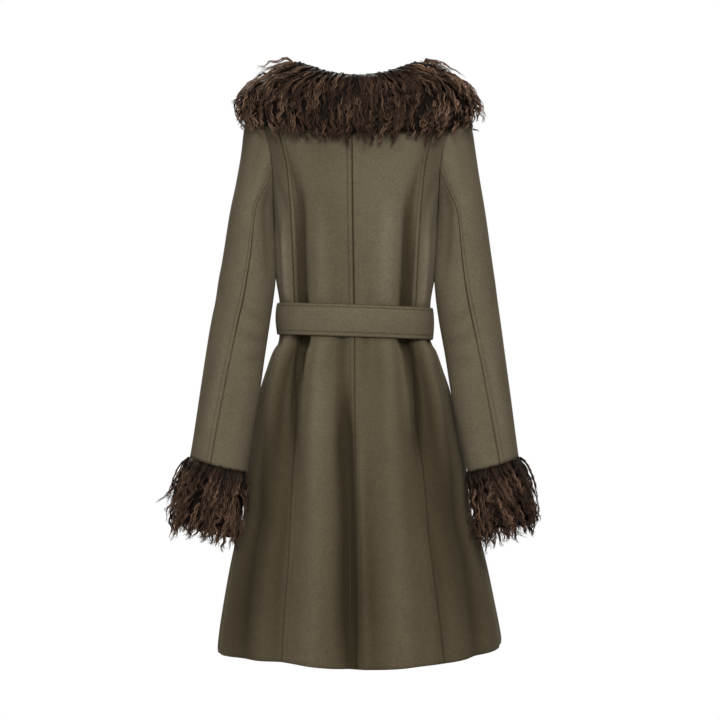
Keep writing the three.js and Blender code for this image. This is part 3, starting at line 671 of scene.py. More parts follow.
def sleeve_skin(side, turn, share):
    """Sleeve skin on the left, from armhole (0) to cuff seam (1).

    It is the tube plus what the armhole's curve differs from it, which fades over the head's ease."""
    near = between(turn, 0)
    facing = np.cos(np.radians(turn))
    top = arm_height(near) - SEAM - HEAD_RIDGE * np.maximum(0, facing)
    z = lerp(top, cuff_seam(turn) + SEAM / 2, share)
    start = body(side * arm_turn(near), arm_height(near), SEAM * (1 - facing))
    start = points_of(start[..., 0] * side, start[..., 1], top)
    ease = 1 - smoothstep(top - z, 0, HEAD_EASE)
    return tube(side, turn, z) + (start - tube(side, turn, top)) * ease[..., None]


def sleeve_turn(turn, share):
    """The back seam leans outward toward the cuff, and the turns on both sides follow it."""
    seam, start = SLEEVE_SEAM["back"], SLEEVE_SEAM["front"]
    end = start + 360
    near = np.where(turn > seam, (end - turn) / (end - seam), (turn - start) / (seam - start))
    lean = SLEEVE_LEAN["turn"] * smoothstep(share, 0, 1) ** SLEEVE_LEAN["bend"]
    return turn - lean * np.clip(near, 0, 1)


# ---- cloth: creases, seams and topstitching ------------------------------------------------------

STITCH = {
    "aside": 0.0082, "pitch": 0.0036, "length": 0.0026, "thread": 0.00034,
    "sunk": 0.0005, "groove": 0.0009, "full": 0.55,  # full: share of its half length at full thickness
}
RIDGE = {"rise": 0.0008, "from": 0.0012, "to": 0.0070}  # cloth lifted by the seam's turnings under it
ROLL = {"drop": 0.0013, "over": 0.0010}  # how a piece's edge rolls in at a seam
PUCKER = {"rise": 0.00045, "length": 0.0095, "spread": 0.0060}  # waves of the cloth along a stitch line
SEAM_SHADE = {"spread": 0.0016, "stitch_spread": 0.0012, "stitch_share": 0.45}
SKIRT_SHADE = {"share": 0.4, "from": -0.46, "to": -0.40}  # share of the painted seam shade left below, on the skirt
# Crease tone: troughs painted darker as painted shade, ridges lighter.
CREASE_TONE = {"rise": 0.0065, "darkest": -1.5, "lightest": 0.5}  # rise for a whole share, and limits
CREASE_SWELL = {"from": -0.12, "full": 0.22, "fading": 0.62, "to": 1.12}  # in shares of a crease's length
# Places beside a seam, close together where its relief is; the stitch line is the one counted 8.
NEAR_EDGE = np.array([0, 0.5, 1.1, 1.9, 3.2, 4.8, 6.2, 7.2, 8.2, 9.2, 10.4, 12.5, 16]) / 1000
NEAR_STITCH = 8
LOW_ROWS, ARM_ROWS = 100, 34  # rows of cloth below the underarm and beside the armhole
COARSE = 49  # places in the first reading of a row's length


def crease_out(creases, a, b, scale_a, scale_b):
    """Sum of the small creases: each a bell across its own line, swelling and dying away along it.

    a and b are the skin's two parameters, and the scales turn them into metres."""
    out = np.zeros(np.broadcast(a, b).shape)
    for start_a, start_b, end_a, end_b, spread, rise in zip(*creases.values()):
        along_a, along_b = (end_a - start_a) * scale_a, (end_b - start_b) * scale_b
        from_a, from_b = between(a, start_a) * scale_a, (b - start_b) * scale_b
        long = along_a**2 + along_b**2
        share = (from_a * along_a + from_b * along_b) / long
        aside = (from_a * along_b - from_b * along_a) / np.sqrt(long)
        swell = smoothstep(share, CREASE_SWELL["from"], CREASE_SWELL["full"])
        swell = swell * (1 - smoothstep(share, CREASE_SWELL["fading"], CREASE_SWELL["to"]))
        widening = spread * (0.8 + 0.5 * np.clip(share, 0, 1))
        out = out + rise * swell * bell(aside / widening)
    return out


def edge_out(aside, stitched, along):
    """Relief beside a seam: the edge rolls in; on the stitched side the turnings lift a flat ridge,
    which ends in the sunk stitch line, puckered unevenly along its length."""
    roll = -ROLL["drop"] * bell(aside / ROLL["over"])
    if not stitched:
        return roll
    ridge = smoothstep(aside, 0, RIDGE["from"]) * (1 - smoothstep(aside, RIDGE["to"], STITCH["aside"]))
    sunk = bell((aside - STITCH["aside"]) / STITCH["groove"])
    drift = 2.2 * np.sin(along / 0.031) + 1.4 * np.sin(along / 0.0073)
    wave = np.sin(2 * np.pi * along / PUCKER["length"] + drift)
    pucker = bell((aside - STITCH["aside"]) / PUCKER["spread"]) * (0.55 + 0.45 * np.sin(along / 0.047))
    return roll + RIDGE["rise"] * ridge - STITCH["sunk"] * sunk + PUCKER["rise"] * wave * pucker


def stations(long, middle_steps):
    """Places across each row of cloth, in metres from its first edge: close together near both
    seams and even between."""
    near = NEAR_EDGE * np.minimum(1, long[:, None] / (3 * NEAR_EDGE[-1]))
    share = np.linspace(0, 1, middle_steps + 1)[1:-1]
    between_them = near[:, -1:] + (long[:, None] - 2 * near[:, -1:]) * share
    return np.concatenate([near, between_them, long[:, None] - near[:, ::-1]], axis=1)


def cloth(name, skin, normals, first, last, steps, creases_at, nap_at, stitched=(), lift=None):
    """Closed wall of cloth between two edges of a skin.

    Each row runs from the first edge to the last, at stations that are close together near the
    seams. Its relief is the creases, the seams' relief and, for a lap, its lift, all along the
    normal; the inside has the creases and the lift alone. Returns the object, its cut and its
    finished outer grid."""
    coarse = np.linspace(0, 1, COARSE)
    ends = [np.stack(edge, axis=-1)[:, None] for edge in (first, last)]
    rough = ends[0] + (ends[1] - ends[0]) * coarse[:, None]
    run = lengths(skin(rough[..., 0], rough[..., 1]), 1)
    wanted = stations(run[:, -1], steps)
    share = np.stack([np.interp(row, at, coarse) for row, at in zip(wanted, run)])
    place = ends[0] + (ends[1] - ends[0]) * share[..., None]
    a, b = place[..., 0], place[..., 1]
    flat, normal = skin(a, b), normals(a, b)
    along, across = lengths(flat, 0), lengths(flat, 1)
    out = creases_at(a, b)
    if lift is not None:
        out = out + lift(a)
    relief = out + edge_out(across, "first" in stitched, along)
    relief += edge_out(across[:, -1:] - across, "last" in stitched, along)
    relief += edge_out(along, False, along)
    outer = flat + normal * relief[..., None]
    inner = flat + normal * (out - CLOTH)[..., None]
    made = wall(name, outer, inner)
    beside = {"first": across, "last": across[:, -1:] - across}
    seam = sum(bell(aside / SEAM_SHADE["spread"]) for aside in beside.values())
    for side in stitched:
        away = (beside[side] - STITCH["aside"]) / SEAM_SHADE["stitch_spread"]
        seam = seam + SEAM_SHADE["stitch_share"] * bell(away)
    above = smoothstep(flat[..., 2], SKIRT_SHADE["from"], SKIRT_SHADE["to"])
    seam = seam * lerp(SKIRT_SHADE["share"], 1, above)
    # Painted shade in the troughs and lighter ridges, from each point's crease rise.
    crease = np.clip(out / CREASE_TONE["rise"], CREASE_TONE["darkest"], CREASE_TONE["lightest"])
    add_cloth_data(made, across, along, seam, crease, nap_at(a, b))
    long = along[-1, along.shape[1] // 2]
    cut = {"flat": (float(across[:, -1].max()), float(long)), "area": area_of(flat)}
    return made, cut, (outer, normal, across)


def add_cloth_data(made, u, v, seam, crease, nap):
    """Gives both faces of a wall a UV map in metres and each point's shares of seam shade, crease tone and
    painted light and shade.
    """
    mesh = made.data
    corner = np.zeros(len(mesh.loops), np.int32)
    mesh.loops.foreach_get("vertex_index", corner)
    spots = np.stack([np.tile(u.ravel(), 2), np.tile(v.ravel(), 2)], axis=-1)
    layer = mesh.uv_layers.new(name="cloth")
    layer.data.foreach_set("uv", spots[corner].astype(np.float32).ravel())
    # The attribute named brushed holds each point's painted light and painted shade.
    for name, values in (("seam", seam), ("crease", crease), ("brushed", nap)):
        attribute = mesh.attributes.new(name, "FLOAT", "POINT")
        inside = np.zeros(values.size) if name == "seam" else values.ravel()
        attribute.data.foreach_set("value", np.concatenate([values.ravel(), inside]).astype(np.float32))


def stitch_line(grid, aside, from_last=False):
    """Points and normals along a row of stitches that lies aside of a seam of a finished grid.

    Rows of cloth too narrow for it are left out."""
    outer, normal, across = grid
    far = across[:, -1:] - across if from_last else across
    if from_last:
        outer, normal, far = outer[:, ::-1], normal[:, ::-1], far[:, ::-1]
    wide = far[:, -1] > 3 * aside
    place = [
        [np.interp(aside, row, points[:, k]) for k in range(3)]
        for row, points in zip(far[wide], outer[wide])
    ]
    return np.array(place), normal[wide][:, NEAR_STITCH]


def stitches(name, lines):
    """Joined rows of stitches: each a small closed spindle of four sides, laid along its line and
    resting in the groove."""
    places = []
    for points, normal in lines:
        along = lengths(points, 0)
        count = int(along[-1] / STITCH["pitch"])
        at = (np.arange(count) + 0.5) * along[-1] / count

        def spread(values, at=at, along=along):
            return np.stack([np.interp(at, along, values[:, k]) for k in range(3)], axis=-1)

        ahead = unit(np.stack([np.gradient(points[:, k], along) for k in range(3)], axis=-1))
        places.append((spread(points), unit(spread(ahead)), unit(spread(normal))))
    centre, ahead, up = (np.concatenate(parts) for parts in zip(*places))
    side = unit(np.cross(ahead, up))
    up = np.cross(side, ahead)
    turn = np.radians([45, 135, 225, 315])
    ring = side[:, None] * np.cos(turn)[:, None] + up[:, None] * np.sin(turn)[:, None]
    half, thread = STITCH["length"] / 2, STITCH["thread"]
    seat = centre + up * thread * 0.5
    near, far = seat - ahead * half * STITCH["full"], seat + ahead * half * STITCH["full"]
    rings = [near[:, None] + ring * thread, far[:, None] + ring * thread]
    tips = [seat - ahead * half - up * thread, seat + ahead * half - up * thread]
    points = np.concatenate([*rings, tips[0][:, None], tips[1][:, None]], axis=1)
    i = np.arange(4)
    after = (i + 1) % 4
    tip, other_tip = i * 0 + 8, i * 0 + 9
    faces = [[i, after, after + 4], [i, after + 4, i + 4], [after, i, tip], [i + 4, after + 4, other_tip]]
    faces = np.concatenate([np.stack(three, axis=-1) for three in faces])
    every = faces[None] + np.arange(len(centre))[:, None, None] * points.shape[1]
    return new_object(name, points, every.reshape(-1, 3))


# ---- edges of the body's pieces, from hem to shoulder seam ---------------------------------------

SIDE_GAP, ARM_GAP = -0.06, -0.90  # short of the side seam and the armhole seam; below zero: past them
LOW = np.linspace(0, 1, LOW_ROWS)
HIGH = np.linspace(0, 1, ARM_ROWS + 1)[1:]


def edge(low_turn, high_place, shorter=0):
    """Edge of a piece, as turns and heights: up from the hem to the underarm by low_turn(z), and on
    by high_place(t), which gives both for t from 0 to 1. It may start shorter than the hem."""
    foot = hem(between(low_turn(HEM["z"].min()), 0)) + shorter
    z = lerp(foot, UNDERARM, LOW)
    turn = low_turn(z) + 0 * z
    high_turn, high_z = high_place(HIGH)
    return np.concatenate([turn, high_turn]), np.concatenate([z, high_z])


def side_edge(side, face):
    """Side seam, then the armhole: face is 1 for the back, -1 for the front."""

    def armhole(t):
        turn = 180 * (1 - t) * face
        return side * (arm_turn(turn) - ARM_GAP * face), arm_height(turn)

    return edge(lambda z: side * (90 - SIDE_GAP * face), armhole)


def princess_edge(side, inward):
    """Princess seam of the back; inward is 1 for its side piece, -1 for its centre piece."""
    place = curve(BACK_SEAMS, "z", "left" if side > 0 else "right")
    limit = 90 + SIDE_GAP

    def turn(z):
        return np.clip(turn_at(place(z) - side * inward * MEET, z), -limit, limit)

    def high(t):
        z = lerp(UNDERARM, PRINCESS_TOP, (1 - np.cos(np.pi * t)) / 2)
        return turn(z), z

    return edge(turn, high)


def centre_edge(side):
    """Centre back seam, then the neck edge round to the shoulder seam."""
    place = curve(BACK_SEAMS, "z", "centre")

    def turn(z):
        return turn_at(place(z) - side * MEET, z)

    def high(t):
        round_it = np.clip(2 * t - 1, 0, 1)
        seam, neck_edge = lerp(UNDERARM, NECK_BACK, 2 * t), lerp(NECK_BACK, NECK_POINT, round_it**2)
        z = np.where(t <= 0.5, seam, neck_edge)
        neck = lerp(turn(NECK_BACK), side * (90 - SIDE_GAP), round_it)
        return np.where(t <= 0.5, turn(z), neck), z

    return edge(turn, high)


def front_edge(side):
    """Front edge with its lap, then the sloping neck edge up to the shoulder seam.

    The left one, which lies beneath, ends a little higher at the hem."""
    reach = curve(FRONT_EDGE, "z", "reach")

    def turn(z):
        return side * np.maximum(180 - turn_at(middle(z) + reach(z), z), 90 + SIDE_GAP)

    def high(t):
        z = lerp(UNDERARM, NECK_POINT, t)
        return turn(z), z

    return edge(turn, high, shorter=LAP["shorter"] if side > 0 else 0)


def lap_lift(turn):
    """The right front lies over the left one round centre front."""
    return LAP["lift"] * smoothstep(np.abs(turn), LAP["from"], LAP["to"])


def body_creases(turn, z):
    """Small creases of the body: none on the flat front, and ridges die away beneath the belt.

    A degree of turn is taken as the arc of a circle of the width there, a little stretched."""
    per_degree = np.radians(1) * width(z) * ARC_STRETCH
    quiet = 1 - smoothstep(np.abs(between(turn, 0)), FLAT_FRONT["crease_from"], FLAT_FRONT["to"])
    belt = np.abs(z - BELT["middle"] - BELT["tilt"] * body_skin(turn, z)[..., 0]) - BELT["width"] / 2
    out = crease_out(BODY_CREASES, turn, z, per_degree, 1) * quiet
    return np.where(out > 0, out * smoothstep(belt, *BELT_HOLD), out)


def body_painted_shading(turn, z):
    """Sum of the patches of painted light and painted shade: each a bell round its middle."""
    tone = np.zeros(np.broadcast(turn, z).shape)
    for at, height, wide, high, rise in zip(*PAINTED_SHADING.values()):
        tone = tone + rise * np.exp(-((between(turn, at) / wide) ** 2) - ((z - height) / high) ** 2)
    return tone


def sleeve_painted_light(turn, share):
    """The same painted light all over a sleeve."""
    return LIGHTER_ALL_OVER["sleeve"] + 0 * turn * share


def sleeve_creases(side):
    """Creases of one sleeve; the right one's lie a little off the left one's."""
    off = OTHER_SLEEVE if side < 0 else {"turn": 0, "share": 0}
    long = SHOULDER_TIP - CUFF["seam"]

    def at(turn, share):
        """Creases at a place; a degree is taken as the arc of a circle of the sleeve's depth."""
        per_degree = np.radians(1) * sleeve_depth(SHOULDER_TIP - long * share)
        return crease_out(SLEEVE_CREASES, turn + off["turn"], share - off["share"], per_degree, long)

    return at


# ---- belt, knot and hanging ends -----------------------------------------------------------------

BELT_STITCHES = {"top": 0.0050, "low": 0.0068}  # rows of stitches below the top and above the foot
BELT_EDGE = np.array([0, 0.4, 0.9, 1.7, 3.0, 4.2, 5.0, 5.8, 6.8, 7.8, 9.4]) / 1000
BELT_COLUMNS, STRAP_MIDDLE = 192, 9  # places round the belt, and between a strap's close edges
STRAP = {
    "bow": 0.0026,  # how far a strap's middle stands out between its edges
    "roll": 0.0011, "over": 0.0009,  # how its edges roll in
    "sunk": 0.00045, "groove": 0.0009, "line": 0.001,  # its rows of stitches, and their shade's spread
    "pucker": 0.00016, "spread": 0.006,
}
TAIL_ROWS = np.concatenate([[0, 0.002], np.linspace(0.01, 0.985, 70), [0.990, 0.994, 0.9975, 1]])
TAIL_END = {"roll": 0.0011, "over": 0.0009, "sunk": 0.0004, "stitch": 0.006, "groove": 0.001, "twist": 0.0016}
KNOT_GRID = {"rows": 49, "columns": 96}
KNOT_FORM = {
    "square_back": 0.25, "square": 0.7,  # exponents: the smaller, the squarer
    "bow": 0.16, "bow_spread": 0.45,  # its sides, drawn in at mid height
    "wrap_at": 0.66, "wrap_spread": 0.07, "wrap_drop": 0.0018,  # grooves where the wrap ends
    "sunk": 0.0008, "under": 0.0006,  # room kept for the folds ahead, and all round
}


def belt_point(turn, height, out):
    """Point of the belt: turn round the waist, height above its middle, distance out.

    The belt lies on the waist's own section, bridges the folds and rises over the lap."""

    def skin(a, b):
        return body_skin(a, b, folded=0)

    waist = np.full_like(turn, BELT["middle"])
    over = LAP["lift"] * smoothstep(np.abs(turn), BELT["over_from"], BELT["over_to"])
    far = BELT["gap"] + over + out
    base = skin(turn, waist) - normals_of(skin, turn, waist, *SKIN_STEPS) * np.asarray(far)[..., None]
    z = BELT["middle"] + BELT["tilt"] * base[..., 0] + height
    return points_of(base[..., 0], base[..., 1], z)


def strap_out(height, wide, along):
    """Relief across a strap: bowed, its edges rolled in, its two rows of stitches sunk and puckered."""
    low, high = height + wide / 2, wide / 2 - height
    out = STRAP["bow"] * (np.cos(np.pi * height / wide) - 0.25)
    out = out - STRAP["roll"] * (bell(low / STRAP["over"]) + bell(high / STRAP["over"]))
    for aside, place in ((low, BELT_STITCHES["low"]), (high, BELT_STITCHES["top"])):
        out = out - STRAP["sunk"] * bell((aside - place) / STRAP["groove"])
        wave = np.sin(2 * np.pi * along / PUCKER["length"] + 2 * np.sin(along / 0.029))
        out = out + STRAP["pucker"] * wave * bell((aside - place) / STRAP["spread"])
    slow = 0.00045 * np.sin(along / 0.041 + 25 * height) + 0.0003 * np.sin(along / 0.019 - 60 * height)
    return out + slow * (1 - (2 * height / wide) ** 2)


def strap_heights(wide):
    """Heights across a strap from its middle: close together near both edges, even between."""
    middle_part = np.linspace(BELT_EDGE[-1], wide - BELT_EDGE[-1], STRAP_MIDDLE)[1:-1]
    return np.concatenate([BELT_EDGE, middle_part, wide - BELT_EDGE[::-1]]) - wide / 2


def stitch_places(heights):
    """Places in a strap's heights that are nearest to its two rows of stitches."""
    rows = BELT_STITCHES["low"] - BELT["width"] / 2, BELT["width"] / 2 - BELT_STITCHES["top"]
    return [int(np.abs(heights - at).argmin()) for at in rows]


def strap_seam(height, wide):
    """Share of the stitch lines and edges at each height of a strap."""
    low, high = height + wide / 2, wide / 2 - height
    line = STRAP["line"]
    rows = bell((low - BELT_STITCHES["low"]) / line) + bell((high - BELT_STITCHES["top"]) / line)
    return 0.55 * rows + 0.8 * (bell(low / line) + bell(high / line))


def make_belt():
    """Belt round the waist: a wall between the belt's inner face and its outer face plus the relief,
    with heights across it and turns along it."""
    heights = strap_heights(BELT["width"])
    turn = (np.arange(BELT_COLUMNS) / BELT_COLUMNS * 360 - 180)[None, :]
    turn, height = np.broadcast_arrays(turn, heights[:, None])
    flat = belt_point(turn, height, BELT["thick"])
    along = lengths(flat, 1)
    relief = strap_out(height, BELT["width"], along)
    outer = belt_point(turn, height, BELT["thick"] + relief)
    inner = belt_point(turn, height, 0 * relief)
    made = wall("belt_band", outer, inner, round_it=True)
    seam = strap_seam(height, BELT["width"])
    add_cloth_data(made, along, height, seam, 0 * seam, 0 * seam + LIGHTER_ALL_OVER["belt"])
    normal = unit(outer - inner)
    lines = [(outer[row], normal[row]) for row in stitch_places(heights)]
    long = float(along[:, -1].max())
    cut = {"flat": (BELT["width"], long), "area": BELT["width"] * long}
    return made, cut, stitches("belt_band_stitches", lines)


def make_tail(side, name):
    """Hanging end of the belt: a strap over the front, with a slight twist and a folded lower end.

    Its points lie on the body's skin, a set distance out, at an x that splays and a z that falls
    with the share of its length."""
    heights = strap_heights(BELT["width"])
    share, aside = np.broadcast_arrays(TAIL_ROWS[:, None], heights)

    def place(out):
        """Points of the strap, moved out."""
        x = middle(BELT["middle"]) + aside
        x = x + side * (BELT["width"] / 2 + TAIL["gap"] / 2 + TAIL["splay"] * share)
        z = BELT["middle"] + BELT["tilt"] * x - BELT["width"] / 2 - TAIL["drop"] - TAIL["length"] * share
        twist = TAIL_END["twist"] * np.sin(2 * np.pi * (share + 0.25 * side)) * aside / BELT["width"]
        return body(180 - turn_at(x, z), z, TAIL["out"] + twist + out)

    flat = place(BELT["thick"])
    along = lengths(flat, 0)
    left = along[-1:] - along
    end_roll = TAIL_END["roll"] * bell(left / TAIL_END["over"])
    end_stitch = TAIL_END["sunk"] * bell((left - TAIL_END["stitch"]) / TAIL_END["groove"])
    relief = strap_out(aside, BELT["width"], along) - end_roll - end_stitch
    outer, inner = place(BELT["thick"] + relief), place(0 * relief)
    made = wall(name, outer, inner)
    seam = strap_seam(aside, BELT["width"])
    add_cloth_data(made, aside, along, seam, 0 * seam, 0 * seam + LIGHTER_ALL_OVER["belt"])
    normal = unit(outer - inner)
    lines = [(outer[:-2, column], normal[:-2, column]) for column in stitch_places(heights)]
    cut = {"flat": (BELT["width"], TAIL["length"]), "area": BELT["width"] * TAIL["length"]}
    return made, cut, stitches(f"{name}_stitches", lines)


def make_knot():
    """Knot: a rounded block, bowed in at its sides, with the wrap's folds running over it.

    Its directions are those of a ball; each is squared off, most at the back, stretched to the knot's
    size and then moved out by folds that fan from its lower edge. The back bends with the belt."""
    rows, columns = KNOT_GRID["rows"], KNOT_GRID["columns"]
    fall = np.linspace(0, np.pi, rows)[1:-1, None]
    turn = np.linspace(0, 2 * np.pi, columns, endpoint=False)[None, :]
    ways = points_of(np.sin(fall) * np.cos(turn), np.sin(fall) * np.sin(turn), np.cos(fall))
    ways = np.concatenate([[[0.0, 0.0, 1.0]], ways.reshape(-1, 3), [[0.0, 0.0, -1.0]]])
    size = np.array([KNOT["width"], KNOT["depth"], KNOT["height"]]) / 2
    exponent = np.where(ways * [0, 1, 0] > 0, KNOT_FORM["square_back"], KNOT_FORM["square"])
    square = np.sign(ways) * np.abs(ways) ** exponent
    x, z = square[:, 0], square[:, 2]
    waist = 1 - KNOT_FORM["bow"] * bell(z / KNOT_FORM["bow_spread"]) * np.abs(x)
    fan = x / (1.15 + 0.5 * z)
    ahead = smoothstep(-ways[:, 1], -0.3, 0.5)
    folds = 0.0011 * np.cos(11.5 * fan + 1.5 * z) + 0.0006 * np.cos(21 * fan - 2.1 * z + 0.8)
    wrap_edge = bell((np.abs(x) - KNOT_FORM["wrap_at"]) / KNOT_FORM["wrap_spread"])
    out = (folds - KNOT_FORM["wrap_drop"] * wrap_edge - KNOT_FORM["sunk"]) * ahead - KNOT_FORM["under"]
    points = square * size
    points[:, 0] *= waist
    points = points + ways * out[:, None]
    points = points + np.array([middle(BELT["middle"]), -SEAM - KNOT["depth"] / 2, BELT["middle"]])
    belt = belt_point(np.linspace(150, 210, 61), 0.0, BELT["thick"] + KNOT["clear"])
    belt = belt[np.argsort(belt[:, 0])]
    behind, foremost = np.interp(points[:, 0], belt[:, 0], belt[:, 1]), belt[:, 1].min()
    points[:, 1] += foremost + (behind - foremost) * smoothstep(ways[:, 1], -0.5, 0.3)
    quads = grid_faces(rows - 2, columns, 1, round_it=True)
    faces = np.concatenate([quads[:, [0, 1, 2]], quads[:, [0, 2, 3]]])
    i = np.arange(columns)
    last = 1 + (rows - 3) * columns
    top = np.stack([i * 0, 1 + (i + 1) % columns, 1 + i], axis=-1)
    foot = np.stack([last + i, last + (i + 1) % columns, i * 0 + len(points) - 1], axis=-1)
    return new_object("belt_knot_wrap", points, np.concatenate([faces, top, foot]))


# ---- fur -----------------------------------------------------------------------------------------

collar_turn, collar_neck, collar_outer = (
    curve(COLLAR_EDGES, "share", name) for name in ("turn", "neck", "outer")
)
collar_fur, cuff_fur = curve(FUR, "down", "collar"), curve(FUR, "down", "cuff")
sleeve_heads = curve(SLEEVE_HEADS, "z", "out")

# A strand's steps, its width over its thickness, how much thinner its tip is, how far a lock draws
# together, and the shortest length.
STRAND = {"steps": 10, "flat": 1.35, "thin": 0.82, "closing": 0.88, "least": 0.012}
# Fur of the collar and the cuffs: how many locks, and strands a lock; the lengths, how far they may
# hang past the edge, and the strands' half thickness; how far and how long a strand waves; how much
# a lock leans, and half its width at the root; the share of wisps; the length over which a strand
# rises, and its layers in shares of the fur's depth; where the roots start and end round the hide;
# how much the locks fan out at the sides; how light they are painted at the middle and at the sides,
# which is painted light that makes the collar lighter toward the shoulders.
COLLAR_FUR = {
    "locks": 760, "strands": 8, "long": (0.045, 0.074), "past": (-0.004, 0.019), "thick": 0.00072,
    "curl": 0.0015, "wave": (0.018, 0.029), "lean": 0.14, "gather": 0.0046, "wisps": 0.11,
    "rise": 0.020, "layers": (0.30, 1.02), "roots": (-1, 1), "flare": 0, "gain": (0.80, 1.42),
}
CUFF_FUR = {
    "locks": 240, "strands": 8, "long": (0.050, 0.088), "past": (-0.014, 0.018), "thick": 0.00072,
    "curl": 0.0016, "wave": (0.018, 0.029), "lean": 0.13, "gather": 0.0046, "wisps": 0.06,
    "rise": 0.045, "layers": (0.25, 1.05), "roots": (-180, 180), "flare": 0.17, "gain": (1, 1.02),
}


def uneven(share):
    """Uneven measure between -1 and 1 that repeats after one turn round: two sines."""
    return 0.6 * np.sin(2 * np.pi * (3 * share + 0.1)) + 0.4 * np.sin(2 * np.pi * (7 * share + 0.6))


def collar_skin(round_it, down):
    """The collar's hide: round from right front (-1) to left front (1), down from neck to outer edge.

    It is the body's skin moved out by its clearance, the sleeve heads under it and the lap."""
    share = np.abs(round_it)
    turn = collar_turn(share) * np.sign(round_it)
    z = lerp(collar_neck(share), collar_outer(share), down)
    over = np.maximum(0, sleeve_heads(z)) * np.abs(np.sin(np.radians(turn))) ** 8
    clear = COLLAR["clear"] + COLLAR["rise"] * smoothstep(down, 0, 0.35)
    return body(turn, z, clear + over + lap_lift(turn))


def cuff_skin(side):
    """A cuff's hide: the sleeve's tube, by turn and down from the cuff seam in shares of the length."""

    def skin(turn, down):
        """Point of the hide."""
        z = cuff_seam(turn) - SEAM / 2 - CUFF["length"] * down
        return tube(side, turn, z) * np.array([side, 1, 1])

    return skin


class Hide:
    """Fine grid of a hide and its normals, for reading a place between its points.

    a runs round the hide and b down it; both come in the skin's own measure. run and fall are the
    metres along each of them."""

    def __init__(self, skin, a_ends, b_ends, outward, steps):
        """Reads the skin once, between the ends given, with outward 1 or -1 for its normals."""
        self.a = np.linspace(*a_ends, 361)
        self.b = np.linspace(*b_ends, 61)
        a, b = np.meshgrid(self.a, self.b, indexing="ij")
        self.points = skin(a, b)
        self.normals = outward * normals_of(skin, a, b, *steps)
        self.run = lengths(self.points, 0)
        self.fall = lengths(self.points, 1)

    def read(self, grid, a, b):
        """Value of a grid at places a and b, straight between its points."""
        row = np.clip((a - self.a[0]) / (self.a[1] - self.a[0]), 0, len(self.a) - 1.001)
        column = np.clip((b - self.b[0]) / (self.b[1] - self.b[0]), 0, len(self.b) - 1.001)
        i, j = row.astype(int), column.astype(int)
        s, t = row - i, column - j
        if grid.ndim == 3:
            s, t = s[..., None], t[..., None]
        near = grid[i, j] * (1 - t) + grid[i, j + 1] * t
        far = grid[i + 1, j] * (1 - t) + grid[i + 1, j + 1] * t
        return near * (1 - s) + far * s

    def place(self, a, b, out):
        """Points at places a and b, moved out along the hide's normal."""
        return self.read(self.points, a, b) + self.read(self.normals, a, b) * out[..., None]


